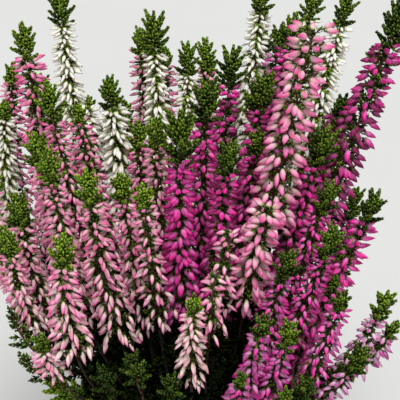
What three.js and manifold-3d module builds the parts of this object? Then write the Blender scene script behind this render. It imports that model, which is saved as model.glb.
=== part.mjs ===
// Potted heather: a trio of bud-blooming heathers, white, pale pink and magenta, in one nursery pot.
// Millimetres, +Z up. The origin is the centre of the pot's flat underside.
//
// Every stem follows one fountain: at each height the bundle is the pattern of its roots in the soil,
// spread outwards. Stems from the middle lean out steadily. Stems from the outside bend out over the rim
// and then stand nearly upright. The spread grows with the root's distance from the middle, so that two
// stems with different roots never cross. The whole bundle leans a little to +X, towards the light.

import * as THREE from "three";
import { mergeVertices } from "three/addons/utils/BufferGeometryUtils.js";
import Module from "manifold-3d";

const wasm = await Module();
wasm.setup();

// ---- Driving dimensions, mm

const POT_HEIGHT = 97;
const RIM_RADIUS = 53;
const RIM_BAND_HEIGHT = 10;
const RIM_STEP = 1.6;
const RIM_SLOPE = 1;
const RIM_EDGE = 0.6;
const BASE_RADIUS = 38;
const BASE_CHAMFER = 1.5;
const POT_WALL = 1.6;
const POT_SIDES = 28;
const DRAIN_COUNT = 6;
const DRAIN_RADIUS = 4;
const DRAIN_RING = 24;
const DRAIN_SIDES = 8;
const CUT_PAST = 1;

const SOIL_TOP = 86;
const SOIL_RELIEF = 0.8;
const SOIL_WAVE_X = 7;
const SOIL_WAVE_Y = 9;
const SOIL_EDGE = 1;
const SOIL_RINGS = 2;
const FIT_GAP = 0.4;

const ROOT_DEPTH = 10;
const HOLE_RADIUS = 2.35;
const HOLE_SIDES = 4;
const HOLE_PAST = 3;
const STEM_RADIUS = 1.0;
const STEM_TIP_RADIUS = 0.8;
const BRANCH_FOOT_RADIUS = 0.65;

const INNER_SPREAD = 1.75;
const INNER_POWER = 0.8;
const INNER_SCALE = 100;
const OUTER_SPREAD = 1.62;
const OUTER_POWER = 1.4;
const OUTER_SCALE = 36;
const OUTER_FROM = 18;
const OUTER_TO = 36;
const ROOT_HALVINGS = 40;
const DRIFT = 5;
const DRIFT_POWER = 1.5;
const DRIFT_SCALE = 100;
const FORK_HEIGHT = 93;
const FORK_STEP = 5;
const FORK_BLEND = 36;

const COLUMNS = 6;
const BUD_SPACING = 7.8;
const BUD_REACH = 6.2;
const BUD_REACH_GAIN = 0.03;
const BUD_FIRST_LIFT = 1.5;
const BUD_LAST_DROOP = 5;
const BUD_WIDE = 1.08;
const BUD_NARROW = 0.7;
const LAST_BUDS = 0.75;
const CORE_RADIUS = 2.1;
const TWIST = 0.21;
const STEM_SPACING = 22;
const STEM_ROOM = 2;
const UNDER_REACH = 3.6;
const UNDER_LIFT = 4;
const UNDER_FOOT = 0.6;

const TUFT_LENGTH = 15;
const TUFT_REACH = 5.4;
const TUFT_OUTLINE = [0.8, 1, 0.7];
const TUFT_LIFT = 3.2;
const TUFT_CORE = 1.2;
const TWIG_SPACING = 6;
const TWIG_BARE = 16;
const TWIG_REACH = 4.6;
const CLEARANCE = 0.65;
const TIP_ROOM = 2.4;
const SHORTEST_EDGE = 0.02;
const WELD = 1e-4;

const PLASTIC_ROUGHNESS = 0.45;
const SOIL_ROUGHNESS = 0.95;
const PLANT_ROUGHNESS = 0.7;

// ---- Where the sprays end. One row is one tip: x, y, height of the tip, and length of the flowering part,
// then the girth of the flowers and the size of the leafy tip where they aren't 1. A node with more than
// one tip forks low down, and its first tip is the one that roots in the soil.

const WHITE_SPRAYS = [
  [[-60, 45, 257, 85, 1, 1.1]],
  [[-84, 35, 211, 76]],
  [[-39, 20, 226, 72, 1.35], [-49, 25, 211, 66, 1.3, 0.4]],
  [[-21, 42, 247, 77, 1, 1.2]],
  [[-7, 55, 231, 70]],
  [[26, 60, 257, 90]],
  [[47, 52, 256, 87]],
  [[59, 35, 257, 89, 1, 0.95]],
  [[22, 34, 218, 65]],
  [[14, 64, 206, 60]],
  [[2, 84, 214, 65], [6, 90, 186, 50]],
  [[-24, 80, 224, 70], [-20, 88, 182, 50]],
  [[-52, 66, 203, 60, 1, 0.7], [-46, 80, 184, 50]],
];

const PALE_PINK_SPRAYS = [
  [[-71, 12, 250, 85], [-82, 50, 223, 80]],
  [[-61, -5, 231, 75, 1, 1.1], [-51, 8, 219, 74, 1, 0.75]],
  [[-63, -25, 218, 65, 1, 1.05]],
  [[-56, -42, 218, 60]],
  [[-27, 2, 213, 70, 1, 0.8]],
  [[-28, 62, 235, 70, 1, 0.8]],
  [[1, 73, 228, 70]],
  [[-19, -18, 221, 75, 1, 0.85]],
  [[-42, -52, 214, 64, 1.1]],
  [[-31, -38, 207, 60, 1, 0.8]],
  [[-22, -50, 208, 56, 1, 0.7]],
  [[-72, -18, 191, 60], [-74, -30, 181, 34, 1, 0.8]],
  [[-49, -66, 196, 38, 1.2, 0.9]],
  [[-60, -62, 155, 12, 1.15, 0.6]],
  [[-4, -74, 177, 33, 1, 0.55]],
  [[39, -20, 255, 80, 1.2, 0.4], [22, -50, 199, 42, 1.2, 0.4]],
  [[8, -61, 195, 32, 1.05, 0.4], [3, -71, 183, 23, 1, 0.4]],
  [[-71, 57, 216, 75], [-69, 64, 180, 50]],
  [[-88, 16, 190, 55], [-86, 6, 166, 40]],
  [[-17, 60, 227, 70, 1, 0.6]],
  [[-34, 38, 210, 66, 1, 0.7]],
];

const MAGENTA_SPRAYS = [
  [[-9, -35, 230, 72, 1.05, 1.45]],
  [[12, 45, 232, 75, 1, 1.2]],
  [[1, -10, 234, 80, 1, 1.25]],
  [[24, 14, 230, 75, 1, 1.15], [21, -4, 212, 70, 1, 0.75]],
  [[37, 28, 250, 80], [33, 48, 241, 75]],
  [[75, 0, 262, 78, 1.05, 1.25], [57, 16, 220, 70, 1, 0.7]],
  [[47, -10, 216, 70, 1, 1.25]],
  [[47, -32, 202, 60], [47, -48, 191, 50]],
  [[9, -33, 218, 70]],
  [[20, -72, 168, 40, 1, 0.7], [13, -74, 146, 28, 1, 0.5]],
  [[30, -70, 164, 40, 1, 0.8], [30, -68, 135, 22, 1, 0.6]],
  [[30, -58, 186, 50, 1, 0.9], [49, -62, 172, 40, 1, 0.55]],
  [[66, -22, 194, 60], [50, -34, 164, 45, 1, 0.6]],
  [[67, -48, 165, 40, 1, 0.85], [73, -40, 148, 18, 1, 0.5]],
  [[66, 24, 160, 50, 1, 0.7], [61, 8, 160, 45, 1, 0.7]],
  [[68, 44, 168, 50]],
  [[52, 72, 226, 65], [60, 70, 186, 45], [60, 52, 206, 60]],
  [[28, 80, 230, 70], [34, 86, 190, 50]],
  [[58, -60, 149, 22]],
];

const LEAFY_SHOOTS = [
  [[-26, -70, 151, 0], [-13, -70, 142, 0]],
  [[-38, -66, 143, 0]],
  [[54, -52, 136, 0], [38, -67, 140, 0]],
  [[-58, -44, 124, 0, 1, 1.3]],
  [[-75, -35, 150, 0], [-71, -44, 136, 0]],
];

const COLOURS = {
  pot: "#1c1c1e",
  soil: "#2a211a",
  white: "#efeade",
  palePink: "#e79cc0",
  magenta: "#b8287e",
  leaf: "#4f7a2c",
};

// ---- Solids

// Turns a closed geometry into a manifold solid.
function solidOf(geometry) {
  const bare = geometry.clone();
  bare.deleteAttribute("normal");
  bare.deleteAttribute("uv");
  const merged = mergeVertices(bare, WELD);
  return new wasm.Manifold(new wasm.Mesh({
    numProp: 3,
    vertProperties: new Float32Array(merged.attributes.position.array),
    triVerts: new Uint32Array(merged.index.array),
  }));
}

// Turns a manifold solid back into a geometry.
function geometryOf(solid) {
  const mesh = solid.getMesh();
  const geometry = new THREE.BufferGeometry();
  geometry.setAttribute("position", new THREE.BufferAttribute(mesh.vertProperties, 3));
  geometry.setIndex(new THREE.BufferAttribute(mesh.triVerts, 1));
  geometry.computeVertexNormals();
  return geometry;
}

// The largest of a solid's separate bodies, without its shortest edges.
function mainBody(solid) {
  const bodies = solid.simplify(SHORTEST_EDGE).decompose();
  bodies.sort((a, b) => b.volume() - a.volume());
  return bodies[0];
}

// A solid of revolution about +Z from a closed profile of [radius, height] pairs.
function turned(profile, sides) {
  const points = profile.map(([radius, height]) => new THREE.Vector2(radius, height));
  return new THREE.LatheGeometry(points, sides).rotateX(Math.PI / 2);
}

// An upright prism from one height to another.
function uprightPrism(x, y, bottom, top, radius, sides) {
  const prism = new THREE.CylinderGeometry(radius, radius, top - bottom, sides).rotateX(Math.PI / 2);
  return solidOf(prism.translate(x, y, (top + bottom) / 2));
}

function named(name, geometry, color, roughness) {
  const mesh = new THREE.Mesh(geometry, new THREE.MeshStandardMaterial({ color, roughness, metalness: 0 }));
  mesh.name = name;
  return mesh;
}

// ---- Pot

const BODY_TOP_RADIUS = RIM_RADIUS - RIM_STEP;

// The pot's outer radius below its rim band.
function wallRadius(height) {
  return BASE_RADIUS + (BODY_TOP_RADIUS - BASE_RADIUS) * (height / (POT_HEIGHT - RIM_BAND_HEIGHT));
}

function makePot() {
  const bandBottom = POT_HEIGHT - RIM_BAND_HEIGHT;
  const profile = [
    [0, 0],
    [BASE_RADIUS - BASE_CHAMFER, 0],
    [wallRadius(BASE_CHAMFER), BASE_CHAMFER],
    [wallRadius(bandBottom), bandBottom],
    [RIM_RADIUS, bandBottom + RIM_SLOPE],
    [RIM_RADIUS, POT_HEIGHT - RIM_EDGE],
    [RIM_RADIUS - RIM_EDGE, POT_HEIGHT],
    [RIM_RADIUS - POT_WALL, POT_HEIGHT],
    [wallRadius(bandBottom) - POT_WALL, bandBottom - RIM_SLOPE],
    [wallRadius(POT_WALL) - POT_WALL, POT_WALL],
    [0, POT_WALL],
  ];
  let pot = solidOf(turned(profile, POT_SIDES));
  for (let i = 0; i < DRAIN_COUNT; i++) {
    const angle = (i + 0.5) * 2 * Math.PI / DRAIN_COUNT;
    const x = DRAIN_RING * Math.cos(angle);
    const y = DRAIN_RING * Math.sin(angle);
    pot = pot.subtract(uprightPrism(x, y, -CUT_PAST, POT_WALL + CUT_PAST, DRAIN_RADIUS, DRAIN_SIDES));
  }
  return named("pot", geometryOf(pot), COLOURS.pot, PLASTIC_ROUGHNESS);
}

// ---- The fountain that all stems follow

function smoothstep(t) {
  const c = Math.min(1, Math.max(0, t));
  return c * c * (3 - 2 * c);
}

// How far a stem has spread at a height, as a multiple of its root's distance from the middle.
function spreadAt(height, rootRadius) {
  const above = Math.max(0, height - SOIL_TOP);
  const inner = INNER_SPREAD * (above / INNER_SCALE) ** INNER_POWER;
  const outer = OUTER_SPREAD * (1 - Math.exp(-((above / OUTER_SCALE) ** OUTER_POWER)));
  const share = smoothstep((rootRadius - OUTER_FROM) / (OUTER_TO - OUTER_FROM));
  return 1 + inner + (outer - inner) * share;
}

// How far the whole bundle has leant to +X at a height.
function driftAt(height) {
  return DRIFT * (Math.max(0, height - SOIL_TOP) / DRIFT_SCALE) ** DRIFT_POWER;
}

// The root of the stem whose tip is at a place, found by halving.
function rootOf(tipX, y, top) {
  const x = tipX - driftAt(top);
  const reach = Math.hypot(x, y);
  let low = 0;
  let high = reach;
  for (let i = 0; i < ROOT_HALVINGS; i++) {
    const middle = (low + high) / 2;
    if (middle * spreadAt(top, middle) < reach) {
      low = middle;
    } else {
      high = middle;
    }
  }
  return new THREE.Vector2(x, y).multiplyScalar(low / reach);
}

// One stem: its route up the fountain, and how far its skin reaches from that route at each height.
class Stem {
  constructor([x, y, top, bloom, girth = 1, tuft = 1], first, order) {
    this.top = top;
    this.bloom = bloom;
    this.budReach = (BUD_REACH + BUD_REACH_GAIN * bloom) * girth;
    this.tuftLength = TUFT_LENGTH * tuft;
    this.tuftReach = TUFT_REACH * tuft;
    this.root = rootOf(x, y, top);
    this.first = first;
    this.bottom = first ? FORK_HEIGHT + FORK_STEP * order : SOIL_TOP - ROOT_DEPTH;
    this.footRadius = first ? BRANCH_FOOT_RADIUS : STEM_RADIUS;
    this.turn = first ? Math.PI / COLUMNS : 0;
    this.budTop = top - this.tuftLength;
    this.budBottom = bloom > 0 ? this.budTop - bloom : SOIL_TOP + TWIG_BARE;
  }

  at(height) {
    const place = this.root.clone().multiplyScalar(spreadAt(height, this.root.length()));
    place.x += driftAt(height);
    if (this.first) {
      place.lerpVectors(this.first.at(height), place, smoothstep((height - this.bottom) / FORK_BLEND));
    }
    return place;
  }

  point(height) {
    const place = this.at(height);
    return new THREE.Vector3(place.x, place.y, height);
  }

  // Two directions across the stem at a height.
  across(height) {
    const step = 1;
    const along = this.point(height + step).sub(this.point(height - step)).normalize();
    const u = new THREE.Vector3(0, 1, 0).cross(along).normalize();
    return { along, u, v: along.clone().cross(u) };
  }

  reachAt(height) {
    if (height < this.budBottom) {
      return STEM_ROOM;
    }
    return height > this.budTop || this.bloom === 0 ? this.tuftReach : this.budReach;
  }
}

function stemsOf(tips) {
  const first = new Stem(tips[0], null, 0);
  return [first, ...tips.slice(1).map((tip, order) => new Stem(tip, first, order))];
}

// Draws a point in towards its own stem until it is clear of the space of every stem of other sprays.
// Two neighbours share the space between them as their reaches do.
function drawnIn(point, own, others) {
  const centre = own.at(point.z);
  const offset = new THREE.Vector2(point.x, point.y).sub(centre);
  let scale = 1;
  for (const other of others) {
    if (point.z > other.top + TIP_ROOM || point.z < other.bottom) {
      continue;
    }
    const gap = other.at(point.z).sub(centre);
    const distance = gap.length();
    const reach = own.reachAt(point.z);
    const share = reach / (reach + other.reachAt(point.z));
    const limit = distance * share - CLEARANCE;
    const toward = offset.dot(gap) / distance;
    if (toward * scale > limit) {
      scale = limit / toward;
    }
  }
  return new THREE.Vector3(centre.x + offset.x * scale, centre.y + offset.y * scale, point.z);
}

// ---- Skin of a stem: rings of points, with buds or leaves raised from it as points

// The rings of a stem from its foot to its tip: height, radius of the skin, and the reach and lift of
// what is raised from every other point.
function ringsOf(stem) {
  const rings = [];
  if (stem.bottom < SOIL_TOP) {
    rings.push({ height: stem.bottom, radius: stem.footRadius, reach: stem.footRadius, lift: 0 });
  }
  const ground = Math.max(stem.bottom, SOIL_TOP);
  const bareSteps = Math.max(2, Math.round((stem.budBottom - ground) / STEM_SPACING));
  for (let i = 0; i < bareSteps; i++) {
    const t = i / bareSteps;
    const radius = stem.footRadius + (STEM_TIP_RADIUS - stem.footRadius) * t;
    const height = ground + (stem.budBottom - ground) * t;
    if (i === 0) {
      rings.push({ height, radius, reach: radius, lift: 0 });
    } else {
      // The lowest leaves are shorter, so that they clear the pot's rim.
      rings.push({ height, radius, reach: UNDER_REACH * (i === 1 ? UNDER_FOOT : 1), lift: UNDER_LIFT });
    }
  }
  const length = stem.budTop - stem.budBottom;
  const spacing = stem.bloom > 0 ? BUD_SPACING : TWIG_SPACING;
  const steps = Math.round(length / spacing);
  for (let i = 0; i < steps; i++) {
    const t = i / steps;
    const height = stem.budBottom + length * t;
    if (stem.bloom > 0) {
      const lift = -BUD_LAST_DROOP + (BUD_LAST_DROOP + BUD_FIRST_LIFT) * t;
      const reach = stem.budReach * (i === 0 ? LAST_BUDS : BUD_WIDE + (BUD_NARROW - BUD_WIDE) * t);
      rings.push({ height, radius: CORE_RADIUS, reach, lift });
    } else {
      rings.push({ height, radius: TUFT_CORE, reach: TWIG_REACH, lift: TUFT_LIFT });
    }
  }
  TUFT_OUTLINE.forEach((width, i) => {
    const height = stem.budTop + stem.tuftLength * i / TUFT_OUTLINE.length;
    rings.push({ height, radius: TUFT_CORE, reach: stem.tuftReach * width, lift: TUFT_LIFT });
  });
  return rings;
}

// The closed skin of one stem with its buds and its leafy tip.
function skinOf(stem, others) {
  const positions = [];
  const rings = ringsOf(stem);
  const raisedAt = (ring, column) => (ring + column) % 2 === 0;
  rings.forEach((ring, k) => {
    const { along, u, v } = stem.across(ring.height);
    const centre = stem.point(ring.height);
    for (let j = 0; j < COLUMNS; j++) {
      const angle = 2 * Math.PI * j / COLUMNS + TWIST * k + stem.turn;
      const raised = raisedAt(k, j);
      const reach = raised ? ring.reach : ring.radius;
      const point = centre.clone()
        .addScaledVector(u, reach * Math.cos(angle))
        .addScaledVector(v, reach * Math.sin(angle))
        .addScaledVector(along, raised ? ring.lift : 0);
      positions.push(...drawnIn(point, stem, others).toArray());
    }
  });
  const foot = positions.length / 3;
  positions.push(...stem.point(stem.bottom).toArray());
  const tip = foot + 1;
  positions.push(...stem.point(stem.top).toArray());

  const index = [];
  const last = (rings.length - 1) * COLUMNS;
  for (let j = 0; j < COLUMNS; j++) {
    const next = (j + 1) % COLUMNS;
    index.push(foot, next, j);
    index.push(tip, last + j, last + next);
  }
  for (let k = 0; k + 1 < rings.length; k++) {
    for (let j = 0; j < COLUMNS; j++) {
      const next = (j + 1) % COLUMNS;
      const a = k * COLUMNS + j;
      const b = k * COLUMNS + next;
      const c = a + COLUMNS;
      const d = b + COLUMNS;
      // The edge across each patch joins its two low points, so every bud is a point of its own.
      if (raisedAt(k, j)) {
        index.push(a, b, c, b, d, c);
      } else {
        index.push(a, b, d, a, d, c);
      }
    }
  }
  const geometry = new THREE.BufferGeometry();
  geometry.setAttribute("position", new THREE.Float32BufferAttribute(positions, 3));
  geometry.setIndex(index);
  return solidOf(geometry);
}

// ---- Sprays and shoots

const KINDS = [
  { prefix: "white_spray", rows: WHITE_SPRAYS, color: COLOURS.white },
  { prefix: "pale_pink_spray", rows: PALE_PINK_SPRAYS, color: COLOURS.palePink },
  { prefix: "magenta_spray", rows: MAGENTA_SPRAYS, color: COLOURS.magenta },
  { prefix: "leafy_shoot", rows: LEAFY_SHOOTS, color: COLOURS.leaf },
];

const plants = KINDS.flatMap(({ prefix, rows, color }) => rows.map((tips, i) => ({
  name: `${prefix}_${String(i + 1).padStart(2, "0")}`,
  color,
  stems: stemsOf(tips),
})));

function makePlant(plant) {
  const others = plants.filter((other) => other !== plant).flatMap((other) => other.stems);
  const skins = plant.stems.map((stem) => skinOf(stem, others));
  const whole = skins.slice(1).reduce((sum, skin) => sum.add(skin), skins[0]);
  return named(plant.name, geometryOf(mainBody(whole)), plant.color, PLANT_ROUGHNESS);
}

// ---- Soil

function makeSoil() {
  const bottom = POT_WALL + FIT_GAP;
  const inset = POT_WALL + FIT_GAP;
  const bandBottom = POT_HEIGHT - RIM_BAND_HEIGHT;
  const topRadius = wallRadius(Math.min(SOIL_TOP, bandBottom)) - inset;
  const profile = [[0, bottom], [wallRadius(bottom) - inset, bottom], [topRadius, SOIL_TOP]];
  for (let ring = SOIL_RINGS - 1; ring > 0; ring--) {
    profile.push([topRadius * ring / SOIL_RINGS, SOIL_TOP]);
  }
  profile.push([0, SOIL_TOP]);
  const plug = turned(profile, POT_SIDES);
  const spots = plug.attributes.position;
  for (let i = 0; i < spots.count; i++) {
    const x = spots.getX(i);
    const y = spots.getY(i);
    if (spots.getZ(i) > SOIL_TOP - SOIL_EDGE && Math.hypot(x, y) < topRadius - SOIL_EDGE) {
      spots.setZ(i, SOIL_TOP + SOIL_RELIEF * Math.sin(x / SOIL_WAVE_X) * Math.cos(y / SOIL_WAVE_Y));
    }
  }
  let soil = solidOf(plug);
  for (const plant of plants) {
    const { x, y } = plant.stems[0].root;
    const floor = SOIL_TOP - ROOT_DEPTH - FIT_GAP;
    soil = soil.subtract(uprightPrism(x, y, floor, SOIL_TOP + HOLE_PAST, HOLE_RADIUS, HOLE_SIDES));
  }
  return named("soil", geometryOf(mainBody(soil)), COLOURS.soil, SOIL_ROUGHNESS);
}

// ---- The whole object

const heather = new THREE.Group();
heather.add(makePot());
heather.add(makeSoil());
for (const plant of plants) {
  heather.add(makePlant(plant));
}

export default heather;
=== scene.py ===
"""Potted heather: a trio of bud-blooming heathers, white, pale pink and magenta, in one nursery pot.

Sizes are millimetres, as a grower would give them, and every mesh is written in metres in the frame
of the solids. Each spray of the solids is replaced by its buds, its leaves and its wood. What repeats,
a bud, a leaf or a crumb, is modelled once and copied along the stems by a seeded rule.
"""

import logging
import math
from collections.abc import Callable, Sequence
from dataclasses import dataclass, field
from enum import Enum
from typing import NamedTuple

import bpy
import numpy as np
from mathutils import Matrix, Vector


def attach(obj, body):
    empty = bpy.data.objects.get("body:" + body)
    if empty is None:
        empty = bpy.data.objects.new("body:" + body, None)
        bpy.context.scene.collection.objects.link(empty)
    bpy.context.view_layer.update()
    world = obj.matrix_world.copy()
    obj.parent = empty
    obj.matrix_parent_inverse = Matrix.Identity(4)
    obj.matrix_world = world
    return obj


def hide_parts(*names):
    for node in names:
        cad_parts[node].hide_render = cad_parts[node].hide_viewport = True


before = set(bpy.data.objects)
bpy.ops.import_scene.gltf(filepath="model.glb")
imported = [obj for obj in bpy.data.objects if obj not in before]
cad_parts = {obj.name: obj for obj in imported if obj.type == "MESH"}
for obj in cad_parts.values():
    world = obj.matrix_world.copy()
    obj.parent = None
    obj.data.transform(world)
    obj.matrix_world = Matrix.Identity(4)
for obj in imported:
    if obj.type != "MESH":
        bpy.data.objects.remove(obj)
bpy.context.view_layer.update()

LOG = logging.getLogger("heather")
MM = 0.001
UP = np.array([0.0, 0.0, 1.0])
SIDEWAYS = np.array([0.0, 1.0, 0.0])
TURN = 2 * math.pi
GOLDEN_ANGLE = math.radians(137.508)
GROWTH = "growth"

Row = tuple[float, ...]
Span = tuple[float, float]
Colour = tuple[float, float, float, float]
WHITE = (1.0, 1.0, 1.0, 1.0)


def srgb(red: int, green: int, blue: int) -> Colour:
    """Turns a paint chart's colour into a linear one.

    Args:
        red: its amount from 0 to 255.
        green: its amount from 0 to 255.
        blue: its amount from 0 to 255.

    Returns:
        The linear colour.
    """

    def linear(value: int) -> float:
        """One channel, made linear."""
        part = value / 255
        return part / 12.92 if part <= 0.04045 else ((part + 0.055) / 1.055) ** 2.4

    return (linear(red), linear(green), linear(blue), 1.0)


def grey(value: float) -> Colour:
    """A linear grey."""
    return (value, value, value, 1.0)


def smoothstep(value: np.ndarray) -> np.ndarray:
    """Eased step from 0 to 1."""
    part = np.clip(value, 0, 1)
    return part * part * (3 - 2 * part)


def unit(vectors: np.ndarray) -> np.ndarray:
    """Vectors of length one."""
    return vectors / np.maximum(np.linalg.norm(vectors, axis=-1, keepdims=True), 1e-9)


def outward(angles: np.ndarray) -> np.ndarray:
    """Level vectors of length one at each angle round Z."""
    return np.column_stack([np.cos(angles), np.sin(angles), np.zeros(len(angles))])


def dress(piece: bpy.types.Object, node: str, slot: str) -> None:
    """Puts a finished piece in place of a solid.

    Args:
        piece: the piece.
        node: the solid that it stands for.
        slot: not used.
    """
    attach(piece, "root")
    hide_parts(node)


# ---- Finishes


class Sheet:
    """A material's node sheet, with short calls for the nodes that the finishes share."""

    COLOUR_MIX_INPUTS = (0, 6, 7)
    COLOUR_MIX_OUTPUT = 2

    def __init__(self, name: str) -> None:
        """Starts a material with a Principled shader.

        Args:
            name: name of the material.
        """
        self.material = bpy.data.materials.new(name)
        self.material.use_nodes = True
        self.tree = self.material.node_tree
        self.shader = self.tree.nodes["Principled BSDF"]

    def node(self, kind: str, **settings: object) -> bpy.types.Node:
        """Adds a node.

        Args:
            kind: Blender's name of the node's type.
            settings: properties to set on it.

        Returns:
            The new node.
        """
        made = self.tree.nodes.new(kind)
        for key, value in settings.items():
            setattr(made, key, value)
        return made

    def link(self, output: bpy.types.NodeSocket, socket: bpy.types.NodeSocket) -> None:
        """Joins an output to an input."""
        self.tree.links.new(output, socket)

    def feed(self, value: object, socket: bpy.types.NodeSocket) -> None:
        """Gives an input a value, or joins an output to it.

        Args:
            value: a socket, a number or a colour.
            socket: the input.
        """
        if isinstance(value, bpy.types.NodeSocket):
            self.link(value, socket)
        else:
            socket.default_value = value

    def paint(self, colour: object, roughness: object) -> None:
        """Gives the shader its colour and its roughness."""
        self.feed(colour, self.shader.inputs["Base Color"])
        self.feed(roughness, self.shader.inputs["Roughness"])

    def growth(self) -> tuple[bpy.types.NodeSocket, ...]:
        """Reads what a copied piece carries, as four sockets.

        Returns:
            Its place along itself, its rib, its chance and its tint, from 0 to 1.
        """
        carried = self.node("ShaderNodeAttribute", attribute_name=GROWTH)
        split = self.node("ShaderNodeSeparateXYZ")
        self.link(carried.outputs["Vector"], split.inputs[0])
        return (*split.outputs, carried.outputs["Alpha"])

    def maths(
        self, operation: str, first: object, second: object, clamp: bool = False
    ) -> bpy.types.NodeSocket:
        """Adds a Math node.

        Args:
            operation: name of the operation.
            first: a socket or a number.
            second: a socket or a number.
            clamp: whether the result is kept from 0 to 1.

        Returns:
            The node's output.
        """
        made = self.node("ShaderNodeMath", operation=operation, use_clamp=clamp)
        self.feed(first, made.inputs[0])
        self.feed(second, made.inputs[1])
        return made.outputs[0]

    def ramp(
        self, socket: bpy.types.NodeSocket, stops: Sequence[tuple[float, Colour]]
    ) -> bpy.types.NodeSocket:
        """Adds a colour ramp.

        Args:
            socket: what the ramp reads.
            stops: place and colour of each stop, in order.

        Returns:
            The ramp's colour.
        """
        made = self.node("ShaderNodeValToRGB")
        bands = made.color_ramp.elements
        while len(bands) < len(stops):
            bands.new(0.5)
        for band, (place, colour) in zip(bands, stops, strict=True):
            band.position = place
            band.color = colour
        self.link(socket, made.inputs[0])
        return made.outputs[0]

    def mix(
        self, share: object, first: object, second: object, blend: str = "MIX"
    ) -> bpy.types.NodeSocket:
        """Adds a colour mix.

        Args:
            share: a socket or a number, the share of the second colour.
            first: a socket or a colour.
            second: a socket or a colour.
            blend: name of the way to blend.

        Returns:
            The mixed colour.
        """
        made = self.node("ShaderNodeMix", data_type="RGBA", blend_type=blend)
        for place, value in zip(self.COLOUR_MIX_INPUTS, (share, first, second), strict=True):
            self.feed(value, made.inputs[place])
        return made.outputs[self.COLOUR_MIX_OUTPUT]

    def glazed(
        self,
        colour: object,
        source: bpy.types.NodeSocket,
        low: tuple[float, Colour],
        high: tuple[float, Colour],
        share: float = 1.0,
    ) -> bpy.types.NodeSocket:
        """Multiplies a colour by a glaze that runs between two stops as a source does."""
        return self.mix(share, colour, self.ramp(source, (low, high)), "MULTIPLY")

    def tone(
        self, tint: bpy.types.NodeSocket, chance: bpy.types.NodeSocket, spread: float
    ) -> bpy.types.NodeSocket:
        """A copy's place in a row of tones: its kind's tint, moved by the copy's own chance."""
        off = self.maths("MULTIPLY", self.maths("SUBTRACT", chance, 0.5), spread)
        return self.maths("ADD", tint, off, clamp=True)

    def toned(
        self,
        along: bpy.types.NodeSocket,
        share: bpy.types.NodeSocket,
        places: Sequence[float],
        tones: Sequence[Sequence[Colour]],
    ) -> bpy.types.NodeSocket:
        """Colours a copied piece along itself, in a tone that runs through a row of tones.

        Args:
            along: the place along the piece.
            share: place in the row of tones, from 0 to 1.
            places: where along the piece the colours of a tone stand.
            tones: each tone's colours.

        Returns:
            The colour.
        """
        colour = self.ramp(along, list(zip(places, tones[0], strict=True)))
        steps = len(tones) - 1
        for step, tone in enumerate(tones[1:]):
            past = self.maths("SUBTRACT", self.maths("MULTIPLY", share, steps), step, clamp=True)
            colour = self.mix(past, colour, self.ramp(along, list(zip(places, tone, strict=True))))
        return colour

    def noise(
        self, scale: float, detail: float = 2.0, stretch: tuple[float, float, float] | None = None
    ) -> bpy.types.NodeSocket:
        """Adds noise on the object's own coordinates.

        Args:
            scale: waves to a metre.
            detail: octaves of finer noise.
            stretch: scale of each axis, or None where they are alike.

        Returns:
            The noise, from 0 to 1.
        """
        place = self.node("ShaderNodeTexCoord").outputs["Object"]
        if stretch is not None:
            mapping = self.node("ShaderNodeMapping")
            mapping.inputs["Scale"].default_value = stretch
            self.link(place, mapping.inputs["Vector"])
            place = mapping.outputs[0]
        made = self.node("ShaderNodeTexNoise")
        made.inputs["Scale"].default_value = scale
        made.inputs["Detail"].default_value = detail
        self.link(place, made.inputs["Vector"])
        return made.outputs[0]

    def bump(self, height: bpy.types.NodeSocket, strength: float, depth: float) -> None:
        """Gives the shader a bump.

        Args:
            height: what raises the surface.
            strength: share of the bump, from 0 to 1.
            depth: height of the bump in metres.
        """
        made = self.node("ShaderNodeBump")
        made.inputs["Strength"].default_value = strength
        made.inputs["Distance"].default_value = depth
        self.link(height, made.inputs["Height"])
        self.link(made.outputs[0], self.shader.inputs["Normal"])

    def between(self, source: bpy.types.NodeSocket, low: float, high: float) -> bpy.types.NodeSocket:
        """A source from 0 to 1, made to run between two values."""
        return self.maths("ADD", self.maths("MULTIPLY", source, high - low), low)


@dataclass(frozen=True)
class Finish:
    """What all finishes share: a name, and a node sheet that each lays itself out on."""

    name: str

    def lay_out(self, sheet: Sheet) -> None:
        """Lays the finish out on a node sheet."""
        raise NotImplementedError

    def material(self) -> bpy.types.Material:
        """Builds the finish's material.

        Returns:
            The material.
        """
        sheet = Sheet(self.name)
        self.lay_out(sheet)
        return sheet.material


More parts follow.
